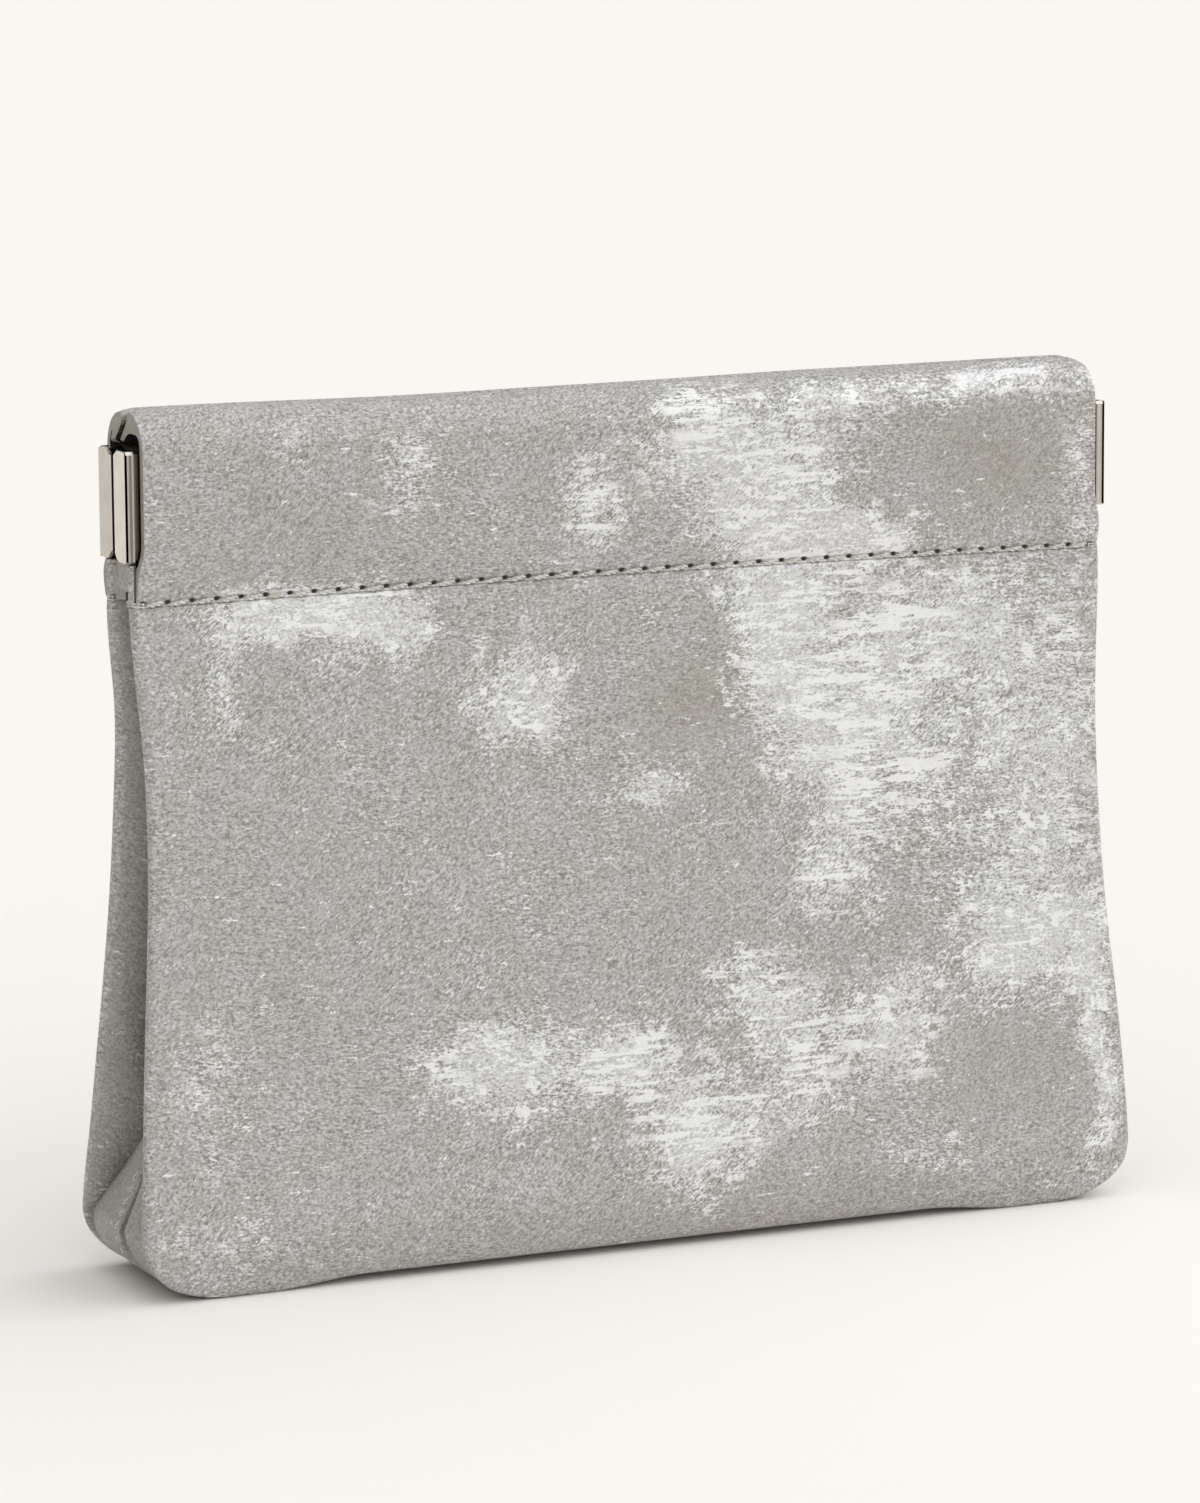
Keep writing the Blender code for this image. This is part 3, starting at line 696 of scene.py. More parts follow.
def channel_profile():
    """Matching outer and inner loops of the folded channel, as rows of (depth, height)."""
    middle = (CHANNEL_HALF_DEPTH + RETURN_FACE) / 2
    cavity_outer, cavity_inner = CHANNEL_HALF_DEPTH - LEATHER, RETURN_FACE + LEATHER
    rise = CHANNEL_TOP - CHANNEL_SHOULDER
    cavity_rise = rise - LEATHER - CREST_EXTRA
    outer, inner = [], []
    for step in range(BULGE_STEPS):
        t = step / BULGE_STEPS
        depth = mix(STITCH_HALF_DEPTH, CHANNEL_HALF_DEPTH, math.sin(t * math.pi / 2))
        outer.append((depth, mix(STITCH_HEIGHT, CHANNEL_BULGE_TOP, t)))
        near = mix(middle + CHANNEL_FLOOR_HALF_WIDTH, cavity_outer, t)
        inner.append((near, mix(CHANNEL_FLOOR, CHANNEL_BULGE_TOP, t * t)))
    for step in range(FACE_STEPS):
        height = mix(CHANNEL_BULGE_TOP, CHANNEL_SHOULDER, step / FACE_STEPS)
        outer.append((CHANNEL_HALF_DEPTH, height))
        inner.append((cavity_outer, height))
    for step in range(2 * ARCH_STEPS + 1):
        angle = step / ARCH_STEPS * math.pi / 2
        side, up = math.cos(angle), math.sin(angle)
        if step < ARCH_STEPS:
            outer.append((mix(CREST_DEPTH, CHANNEL_HALF_DEPTH, side), CHANNEL_SHOULDER + up * rise))
        else:
            t = step / ARCH_STEPS - 1
            turn = min(t / CREST_SHARE, 1.0)
            down = (t - CREST_SHARE) / (1 - CREST_SHARE)
            height = CHANNEL_TOP - (1 - math.sqrt(1 - turn * turn)) * CREST_FALL
            if down > 0:
                height = mix(CHANNEL_TOP - CREST_FALL, CHANNEL_SHOULDER, down)
            outer.append((mix(CREST_DEPTH, RETURN_FACE, turn), height))
        across = math.copysign(abs(side) ** ROOF_SQUARENESS, side)
        roof = CHANNEL_SHOULDER + up**ROOF_SQUARENESS * cavity_rise
        inner.append((middle + across * (cavity_outer - middle), roof))
    for step in (2, 1):
        height = FRAME_TOP + LEAN_START * (step - 0.5) / 1.5
        outer.insert(-1, (RETURN_FACE, height))
        inner.insert(-1, (cavity_inner, height))
    for step in range(1, FACE_STEPS + 1):
        t = step / FACE_STEPS
        outer.append((RETURN_FACE, mix(CHANNEL_SHOULDER, CHANNEL_BULGE_TOP, t)))
        inner.append((cavity_inner, mix(CHANNEL_SHOULDER, CHANNEL_BULGE_TOP, t)))
    for step in range(1, BULGE_STEPS + 1):
        t = 1 - step / BULGE_STEPS
        outer.append((mix(RETURN_FOOT_FACE, RETURN_FACE, t), mix(STITCH_HEIGHT, CHANNEL_BULGE_TOP, t)))
        near = mix(middle - CHANNEL_FLOOR_HALF_WIDTH, cavity_inner, t)
        inner.append((near, mix(CHANNEL_FLOOR, CHANNEL_BULGE_TOP, t * t)))
    return np.array(outer), np.array(inner)


def channel_points(profile, stations, facing, seed, pinch=0.0, fall=1.0):
    depth, height = profile.T
    middle = (CHANNEL_HALF_DEPTH + RETURN_FACE) / 2
    grid = []
    for s in stations:
        to_return = 1 - (depth - RETURN_FACE) / (middle - RETURN_FACE)
        beside_pin = (SETBACK_TOP + SETBACK_REACH - height) / SETBACK_REACH
        setback = RETURN_SETBACK * smooth(to_return) * smooth(beside_pin)
        end = 1 if s > 0 else -1
        length = CHANNEL_HALF_LENGTH + END_SPREAD[end, facing]
        near_end = smooth(1 + (abs(s) - 1) * length / 9)
        flare = END_FLARE[end] * smooth((FLARE_TOP - height) / FLARE_REACH) * near_end
        x = s * (length - setback) + end * flare
        into_end = max(1 + (abs(s) - 1) * length / FALL_LENGTH, 0)
        z = height - fall * END_FALL[end] * into_end**2 * np.maximum(height - FRAME_TOP, 0)
        dip = CREST_DIP * np.exp(-(((x - DIP_X) / DIP_WIDTH) ** 2))
        z = z + (TOP_TILT[end] * s - dip) * smooth((height - CHANNEL_SHOULDER + 1) / 4)
        z = z + 0.16 * wave(x, height * 0 + 3, seed) * smooth((height - CHANNEL_SHOULDER) / 4)
        z = z + SEAM_RISE * (1 - s * s) * smooth((FRAME_BOTTOM + 3 - height) / 6)
        outward = smooth((depth - middle) / (CHANNEL_HALF_DEPTH - middle))
        face = smooth((height - STITCH_HEIGHT) / 4)
        closing = pinch * smooth((-s * length - length + PINCH_LENGTH) / PINCH_LENGTH)
        closing = closing * smooth((height - FRAME_TOP + 0.2) / 1.2)
        y = mix(depth, middle + 0.1, closing)
        y = y + 0.12 * wave(x, height, seed + 5) * outward * face
        near_seam = np.exp(-np.clip((height - STITCH_HEIGHT) / SEAM_CREASE_REACH, 0, 9) ** 1.3)
        y = y - (SEAM_CREASE + PUCKER * pucker(x)) * near_seam * outward
        above = height - FRAME_TOP
        lean = smooth(above / LEAN_START) * (1 - smooth(above / LEAN_HEIGHT))
        lean = CREST_LEAN * smooth(1 - (s + 1) * length / LEAN_LENGTH) * lean
        y = y + facing * lean * np.maximum(1 - (y / (CHANNEL_HALF_DEPTH - LEATHER)) ** 2, 0)
        grid.append(np.column_stack([x, facing * y, z]))
    return np.array(grid)


def build_channel(name, facing, materials):
    outer_profile, inner_profile = channel_profile()
    closed = [np.concatenate([p, p[:1]]) for p in (outer_profile, inner_profile)]
    stations = np.linspace(-1, 1, CHANNEL_STATIONS + 1)
    outer = channel_points(closed[0], stations, facing, facing * 2.0)
    pinch = 0.75 if facing > 0 else 0.0
    inner = channel_points(closed[1], stations, facing, facing * 2.0, pinch, fall=1.2)
    reach = path_lengths(closed[0])
    v = STITCH_HEIGHT + reach
    hide = np.stack([outer[..., 0], np.broadcast_to(v, outer.shape[:2])], axis=-1)
    rows, around = len(stations), len(outer_profile)
    count = rows * around
    faces, slots = [], []
    for a in range(rows - 1):
        for i in range(around):
            j = (i + 1) % around
            quad = [a * around + i, a * around + j, (a + 1) * around + j, (a + 1) * around + i]
            faces.append(quad)
            slots.append(0)
            faces.append([q + count for q in reversed(quad)])
            slots.append(1)
    for end in (0, rows - 1):
        for i in range(around):
            j = (i + 1) % around
            ring = [end * around + j, end * around + i, end * around + i + count, end * around + j + count]
            faces.append(ring if end == 0 else ring[::-1])
            depth, height = outer_profile[i]
            # End faces of the return close to the frame's top take the same painted-shade lining
            shaded = depth == RETURN_FACE and abs(height - FRAME_TOP) < 2 * LEAN_START
            slots.append(1 if shaded else 2)
    outer, inner, hide = outer[:, :-1], inner[:, :-1], hide[:, :-1]
    points = np.concatenate([outer.reshape(-1, 3), inner.reshape(-1, 3)])
    obj = new_object(name, points, faces, materials, slots)
    attributes = hide_attributes(hide, facing)
    # Painted shade inside the channel's hollow, near both ends
    inside = smooth((1.4 - np.abs(outer_profile[:, 0])) / 0.6) * smooth((95.9 - outer_profile[:, 1]) / 0.8)
    at_end = smooth((np.abs(stations) - 0.86) / 0.06)
    attributes["recess_shade"] = (at_end[:, None] * inside).reshape(-1, 1)
    for key, values in attributes.items():
        add_attribute(obj, key, np.concatenate([values, values]))
    if facing < 0:
        obj.data.flip_normals()
    weights = bow(points[:, 0])
    return obj, weights


def tube(path, radius, sides=7):
    """Vertices and faces of a round tube with closed ends."""
    path = np.asarray(path, float)
    tangents = np.gradient(path, axis=0)
    tangents /= np.linalg.norm(tangents, axis=1)[:, None]
    across = np.array((0.0, 0.0, 1.0))
    points = []
    radii = np.broadcast_to(radius, len(path))
    for p, t, r in zip(path, tangents, radii):
        n = across - t * across.dot(t)
        n /= np.linalg.norm(n)
        b = np.cross(t, n)
        for k in range(sides):
            a = k / sides * math.tau
            points.append(p + r * (math.cos(a) * n + math.sin(a) * b))
    faces = []
    for i in range(len(path) - 1):
        for k in range(sides):
            m = (k + 1) % sides
            faces.append([i * sides + k, i * sides + m, (i + 1) * sides + m, (i + 1) * sides + k])
    faces.append(list(range(sides))[::-1])
    faces.append([(len(path) - 1) * sides + k for k in range(sides)])
    return points, faces


def twisted(path, radius, plies=2, pitch=1.5, sides=6):
    """Plies that wind round each other along a path."""
    path = np.asarray(path, float)
    tangents = np.gradient(path, axis=0)
    tangents /= np.linalg.norm(tangents, axis=1)[:, None]
    lengths = path_lengths(path)
    radius = np.broadcast_to(radius, len(path))
    pieces = []
    for ply in range(plies):
        strand = []
        for p, t, s, r in zip(path, tangents, lengths, radius):
            n = np.array((0.0, 0.0, 1.0)) - t * t[2]
            n /= np.linalg.norm(n)
            b = np.cross(t, n)
            a = s / pitch * math.tau + ply / plies * math.tau
            strand.append(p + r * 0.48 * (math.cos(a) * n + math.sin(a) * b))
        pieces.append(tube(strand, radius * 0.56, sides))
    return pieces


def join_pieces(pieces):
    points, faces = [], []
    for new_points, new_faces in pieces:
        start = len(points)
        points += list(new_points)
        faces += [[i + start for i in f] for f in new_faces]
    return np.array(points), faces


def seam_surface(x):
    """Depth and height of the sunk seam at x."""
    edge = smooth((abs(x) - (STITCH_HALF_WIDTH - SHOULDER_REACH)) / SHOULDER_REACH)
    depth = STITCH_HALF_DEPTH * (1 - SHOULDER_EASE * edge) - SEAM_CREASE
    return depth, STITCH_HEIGHT + SEAM_RISE * (1 - (x / STITCH_HALF_WIDTH) ** 2)


def build_seam_thread(name, facing, material):
    pieces = []
    for i in range(STITCHES):
        start, end = stitch_x(i), stitch_x(i + 1)
        shaky = noise.noise(Vector((i * 1.7, facing * 3.1, 0.4)))
        path, full = [], []
        for k in range(17):
            t = k / 16
            full.append(mix(THREAD_TAPER, 1.0, math.sin(math.pi * t) ** 0.8))
            x = mix(start + 0.10, end - 0.10, t)
            depth, height = seam_surface(x)
            rise = math.sin(math.pi * t) ** 0.5
            out = depth + mix(-THREAD_SUNK, THREAD_PROUD, rise)
            slope = (t - 0.5) * (THREAD_SLANT + 0.12 * shaky) * facing * -1
            path.append((x, facing * out, height + slope + 0.04 * shaky))
        pieces += twisted(path, (THREAD_RADIUS + 0.02 * shaky) * np.array(full))
    for end in (-1, 1):
        for offset in (-0.16, 0.16):
            path = []
            for k in range(15):
                t = k / 14
                a = mix(-0.35, 2.3, t)
                x = end * (WRAP_X + WRAP_SIZE[0] * math.sin(a))
                y = STITCH_HALF_DEPTH - WRAP_SET_BACK + WRAP_SIZE[1] * math.cos(a)
                path.append((x, facing * y, STITCH_HEIGHT + offset + 0.1 * (t - 0.5)))
            pieces += twisted(path, WRAP_RADIUS)
    points, faces = join_pieces(pieces)
    obj = new_object(name, points, faces, [material], sharp=80)
    return obj, bow(points[:, 0])


def build_strip(name, facing, material):
    """Flat spring steel, divided along its length."""
    columns = 60
    points, faces = [], []
    for face in (STRIP_FACE, STRIP_FACE - STRIP_THICKNESS):
        for k in range(columns + 1):
            x = mix(-STRIP_HALF_LENGTH, STRIP_HALF_LENGTH, k / columns)
            in_corner = max(abs(x) - (STRIP_HALF_LENGTH - STRIP_CORNER), 0.0)
            cut = STRIP_CORNER - math.sqrt(max(STRIP_CORNER**2 - in_corner**2, 0.0))
            points.append((x, facing * face, FRAME_BOTTOM + cut * 0.98))
            points.append((x, facing * face, FRAME_TOP - cut * 0.98))
    back = 2 * (columns + 1)
    for k in range(columns):
        a = 2 * k
        faces.append([a, a + 2, a + 3, a + 1])
        faces.append([back + a, back + a + 1, back + a + 3, back + a + 2])
        faces.append([a + 1, a + 3, back + a + 3, back + a + 1])
        faces.append([a, back + a, back + a + 2, a + 2])
    faces.append([0, 1, back + 1, back])
    faces.append([2 * columns, back + 2 * columns, back + 2 * columns + 1, 2 * columns + 1])
    if facing > 0:
        faces = [f[::-1] for f in faces]
    obj = new_object(name, points, faces, [material])
    return obj, bow(np.array(points)[:, 0])


def leaf_outline(front, face, groove, streak_reflection, leg_shade):
    """Plan of the leaf as outer points, inner points and a painted shade for each stretch."""
    centre = (face + ROLL, -(groove + ROLL))
    outer, inner, painted_shades = [], [], []

    def add(point, inside, painted_shading):
        outer.append(point)
        inner.append(inside)
        painted_shades.append(painted_shading)

    roll_shade = SHADE_ROLL_FRONT if front else SHADE_ROLL_REAR
    plate_shade = SHADE_FRONT_PLATE if front else SHADE_REAR_PLATE
    for k in range(9):
        a = mix(math.radians(60), math.pi, k / 8)
        r = ROLL - PLATE_SHEET
        painted_shading = SHADE_SLOT if k < 5 else (roll_shade if k < 7 else plate_shade)
        add((centre[0] + ROLL * math.cos(a), centre[1] + ROLL * math.sin(a)),
            (centre[0] + r * math.cos(a), centre[1] + r * math.sin(a)), painted_shading)
    back = face + PLATE_SHEET
    half = PLATE_HALF_DEPTH
    wall = -half + SLOT_DEPTH + 0.12
    for y in (-0.9, -1.25, -1.9, -2.7, -3.4, -3.9, -half + 0.12):
        add((face, y), (back, max(y, wall + 0.02)), plate_shade)
    add((face + 0.01, -half + 0.04), (back + 0.01, wall + 0.015), plate_shade)
    add((face + SLOT_START - 0.01, -half), (back + 0.02, wall + 0.01), plate_shade)
    add((face + SLOT_START, -half), (back + 0.03, wall), SHADE_SLOT)
    add((face + SLOT_START + 0.01, -half + SLOT_DEPTH), (back + 0.04, wall), SHADE_SLOT)
    add((face + SLOT_END - 0.01, -half + SLOT_DEPTH), (back + 0.05, wall), SHADE_SLOT)
    add((face + SLOT_END, -half), (back + 0.06, wall), REFLECTION_BAND)
    add((face + STREAK_START, -half), (back + 0.07, wall + 0.01), streak_reflection)
    add((face + STREAK_END, -half), (back + 0.08, wall + 0.02), REFLECTION_BAND)
    add((face + BAND_END, -half), (face + BAND_END, -half + PLATE_SHEET), leg_shade)
    add((face + BAND_END + 0.14, -LEG_OFFSET), (face + BAND_END + 0.18, -LEG_OFFSET + PLATE_SHEET), leg_shade)
    add((face + LEG_LENGTH, -LEG_OFFSET), (face + LEG_LENGTH, -LEG_OFFSET + PLATE_SHEET), leg_shade)
    return outer, inner, painted_shades


def leaf_trim(x, y, top, front, face, groove):
    """How much shorter the leaf is at a place in its plan, for the notch and the rounded corner."""
    from_groove = -y - groove
    if top:
        trim = NOTCH_TOP_TALL * max(1 - from_groove / NOTCH_TOP_WIDE, 0.0)
    else:
        trim = NOTCH_TALL * max(1 - from_groove / NOTCH_WIDE, 0.0)
    edge = LEAF_EDGE_FRONT if front else LEAF_EDGE_REAR
    if x < face + 0.1:
        over = min(max(-y - (PLATE_HALF_DEPTH - edge), 0.0), edge)
        trim += (edge - math.sqrt(edge**2 - over**2)) * CORNER_SQUASH
    if x > face + BAND_END + 0.1:
        trim += LEG_TRIM
    elif x > face + SLOT_END - 0.005:
        trim += CAP if top else LIP
    return trim


def wedge(x0, x1, face, edge, size, up):
    """A bar with one slanting face, for the polished lip of a sheet's edge."""
    corners = ((face - CAP_PROUD, edge - up * size), (face + size, edge), (face + size, edge - up * size))
    points = [(x, y, z) for x in (x0, x1) for y, z in corners]
    faces = [[0, 1, 2], [5, 4, 3], [0, 3, 4, 1], [1, 4, 5, 2], [2, 5, 3, 0]]
    if up > 0:
        faces = [f[::-1] for f in faces]
    return points, faces


def ring(radius_out, radius_in, low, high, sides=28):
    points, faces = [], []
    for r, z in ((radius_out, low), (radius_out, high), (radius_in, high), (radius_in, low)):
        for k in range(sides):
            a = k / sides * math.tau
            points.append((r * math.cos(a), r * math.sin(a), z))
    for band in range(4):
        for k in range(sides):
            m = (k + 1) % sides
            nxt = (band + 1) % 4
            faces.append([band * sides + k, band * sides + m, nxt * sides + m, nxt * sides + k])
    return points, faces


def block(low, high):
    (x0, y0, z0), (x1, y1, z1) = low, high
    points = [(x, y, z) for z in (z0, z1) for x, y in ((x0, y0), (x1, y0), (x1, y1), (x0, y1))]
    faces = [[3, 2, 1, 0], [4, 5, 6, 7], [0, 1, 5, 4], [1, 2, 6, 5], [2, 3, 7, 6], [3, 0, 4, 7]]
    return points, faces


def build_leaf(name, end, facing, knuckles_at_ends, material):
    front = facing < 0
    face = -KNUCKLE_RADIUS - PLATE_PROUD[end]
    shades = (REFLECTION_STREAK, SHADE_LEG) if end < 0 else (REFLECTION_BAND_RIGHT, REFLECTION_BAND_RIGHT)
    groove = GROOVE_HALF[end]
    outer, inner, painted_shades = leaf_outline(front, face, groove, *shades)
    count = len(outer)
    points, faces, face_shading = [], [], []
    for path in (outer, inner):
        for level, top in ((FRAME_BOTTOM, False), (FRAME_TOP, True)):
            for (ox, oy), (x, y) in zip(outer, path):
                trim = leaf_trim(ox, oy, top, front, face, groove)
                points.append((x, y, level - trim if top else level + trim))
    for i in range(count - 1):
        j = i + 1
        faces.append([i, i + count, j + count, j])
        faces.append([2 * count + i, 2 * count + j, 3 * count + j, 3 * count + i])
        faces.append([count + i, 3 * count + i, 3 * count + j, count + j])
        faces.append([i, j, 2 * count + j, 2 * count + i])
        face_shading += [painted_shades[i], SHADE_SLOT, max(painted_shades[i], SHADE_LEG), max(painted_shades[i], SHADE_LEG)]
    faces.append([0, 2 * count, 3 * count, count])
    faces.append([count - 1, 2 * count - 1, 4 * count - 1, 3 * count - 1])
    face_shading += [SHADE_SLOT, SHADE_LEG]
    pieces = [(points, faces)]
    middle = (FRAME_BOTTOM + FRAME_TOP) / 2
    split = (FRAME_TOP - FRAME_BOTTOM) / 2 - KNUCKLE_SETBACK - KNUCKLE_HEIGHT
    low, high = FRAME_BOTTOM + KNUCKLE_SETBACK, FRAME_TOP - KNUCKLE_SETBACK
    spans = [(middle - split + 0.06, middle + split - 0.06)]
    if knuckles_at_ends:
        spans = [(low, middle - split - 0.06), (middle + split + 0.06, high)]
    for bottom, top in spans:
        pieces.append(ring(BARREL, BARREL_BORE, bottom, top))
        near_plate, near_pin = face + PLATE_SHEET + 0.06, -BARREL_BORE
        pieces.append(block((near_plate, -BLOCK_REACH, bottom), (near_pin, -groove - 0.07, top)))
    plain = len(pieces)
    near, far = face + SLOT_END - 0.12, face + BAND_END + 0.06
    pieces.append(wedge(near, far, -PLATE_HALF_DEPTH, FRAME_TOP, CAP, 1))
    pieces.append(wedge(near - 0.2, far, -PLATE_HALF_DEPTH, FRAME_BOTTOM, LIP, -1))
    points, faces = join_pieces(pieces)
    # Barrels and blocks by the pin are painted as dark as the legs, a painted shade
    face_shading += [SHADE_LEG] * (sum(len(f) for _, f in pieces[:plain]) - len(face_shading))
    face_shading += [1.0] * (len(faces) - len(face_shading))
    points = points * np.array((-end, -facing, 1.0)) + np.array((end * PIN_X, 0.0, 0.0))
    if end * facing < 0:
        faces = [f[::-1] for f in faces]
    obj = new_object(name, points, faces, [material], sharp=30)
    # Painted shade and reflections for each face of the leaf
    painted_shading = obj.data.attributes.new("painted_shading", "FLOAT", "FACE")
    painted_shading.data.foreach_set("value", np.array(face_shading, np.float32))
    bevel = obj.modifiers.new("edge", "BEVEL")
    bevel.width = 0.05 * MM
    bevel.segments = 2
    bevel.limit_method = "ANGLE"
    bevel.angle_limit = math.radians(40)
    return apply_modifiers(obj)


def apply_modifiers(obj):
    bpy.context.view_layer.update()
    evaluated = obj.evaluated_get(bpy.context.evaluated_depsgraph_get())
    mesh = bpy.data.meshes.new_from_object(evaluated)
    old = obj.data
    obj.modifiers.clear()
    obj.data = mesh
    bpy.data.meshes.remove(old)
    mesh.name = obj.name
    return obj


# Shader helpers


class Value:
    """A number, vector or colour in a material's nodes, with the usual arithmetic."""

    def __init__(self, tree, socket):
        self.tree = tree
        self.socket = socket

    def calc(self, operation, other=0.0, clamp=False):
        node = self.tree.nodes.new("ShaderNodeMath")
        node.operation = operation
        node.use_clamp = clamp
        feed(self.tree, node.inputs[0], self)
        feed(self.tree, node.inputs[1], other)
        return Value(self.tree, node.outputs[0])

    def __add__(self, other):
        return self.calc("ADD", other)

    def __sub__(self, other):
        return self.calc("SUBTRACT", other)

    def __mul__(self, other):
        return self.calc("MULTIPLY", other)


def feed(tree, socket, value):
    """Links a value to a socket, or sets a plain number or colour on it."""
    if isinstance(value, Value):
        tree.links.new(value.socket, socket)
    elif socket.type == "RGBA":
        socket.default_value = (*value, 1.0)
    else:
        socket.default_value = value


def feed_all(tree, node, inputs):
    for key, value in inputs.items():
        feed(tree, node.inputs[key.replace("_", " ")], value)


def add_node(tree, kind, output, settings=(), **inputs):
    node = tree.nodes.new(kind)
    for key, value in dict(settings).items():
        setattr(node, key, value)
    feed_all(tree, node, inputs)
    return Value(tree, node.outputs[output])


def painted(tree, name, output="Fac"):
    """An attribute that was written on the mesh."""
    return add_node(tree, "ShaderNodeAttribute", output, {"attribute_name": name})


def noise_at(at, scale, detail=2.0, roughness=0.5):
    """Noise at a place, drawn out along an axis where the scale has three numbers."""
    if isinstance(scale, tuple):
        node = at.tree.nodes.new("ShaderNodeVectorMath")
        node.operation = "MULTIPLY"
        feed(at.tree, node.inputs[0], at)
        feed(at.tree, node.inputs[1], scale)
        at, scale = Value(at.tree, node.outputs[0]), 1.0
    inputs = {"Vector": at, "Scale": scale, "Detail": detail, "Roughness": roughness}
    return add_node(at.tree, "ShaderNodeTexNoise", "Fac", **inputs)


def blend_colour(factor, a, b):
    node = factor.tree.nodes.new("ShaderNodeMix")
    node.data_type = "RGBA"
    for index, value in ((0, factor), (6, a), (7, b)):
        feed(factor.tree, node.inputs[index], value)
    return Value(factor.tree, node.outputs[2])


def stretch(value, low, high, out_low=0.0, out_high=1.0, soft=True):
    node = value.tree.nodes.new("ShaderNodeMapRange")
    node.interpolation_type = "SMOOTHSTEP" if soft else "LINEAR"
    for socket, v in zip(node.inputs, (value, low, high, out_low, out_high)):
        feed(value.tree, socket, v)
    return Value(value.tree, node.outputs[0])


def srgb(r, g, b):
    shares = [c / 255 for c in (r, g, b)]
    return tuple(c / 12.92 if c <= 0.04045 else ((c + 0.055) / 1.055) ** 2.4 for c in shares)


def new_material(name, **fixed):
    material = bpy.data.materials.new(name)
    material.use_nodes = True
    feed_all(material.node_tree, material.node_tree.nodes["Principled BSDF"], fixed)
    return material, material.node_tree


def finish_material(material, height, strength, distance, **inputs):
    """Connects the shader's inputs and a bump of so many millimetres."""
    tree = material.node_tree
    bump = {"Strength": strength, "Distance": distance * MM, "Height": height}
    inputs["Normal"] = add_node(tree, "ShaderNodeBump", "Normal", **bump)
    feed_all(tree, tree.nodes["Principled BSDF"], inputs)
    return material


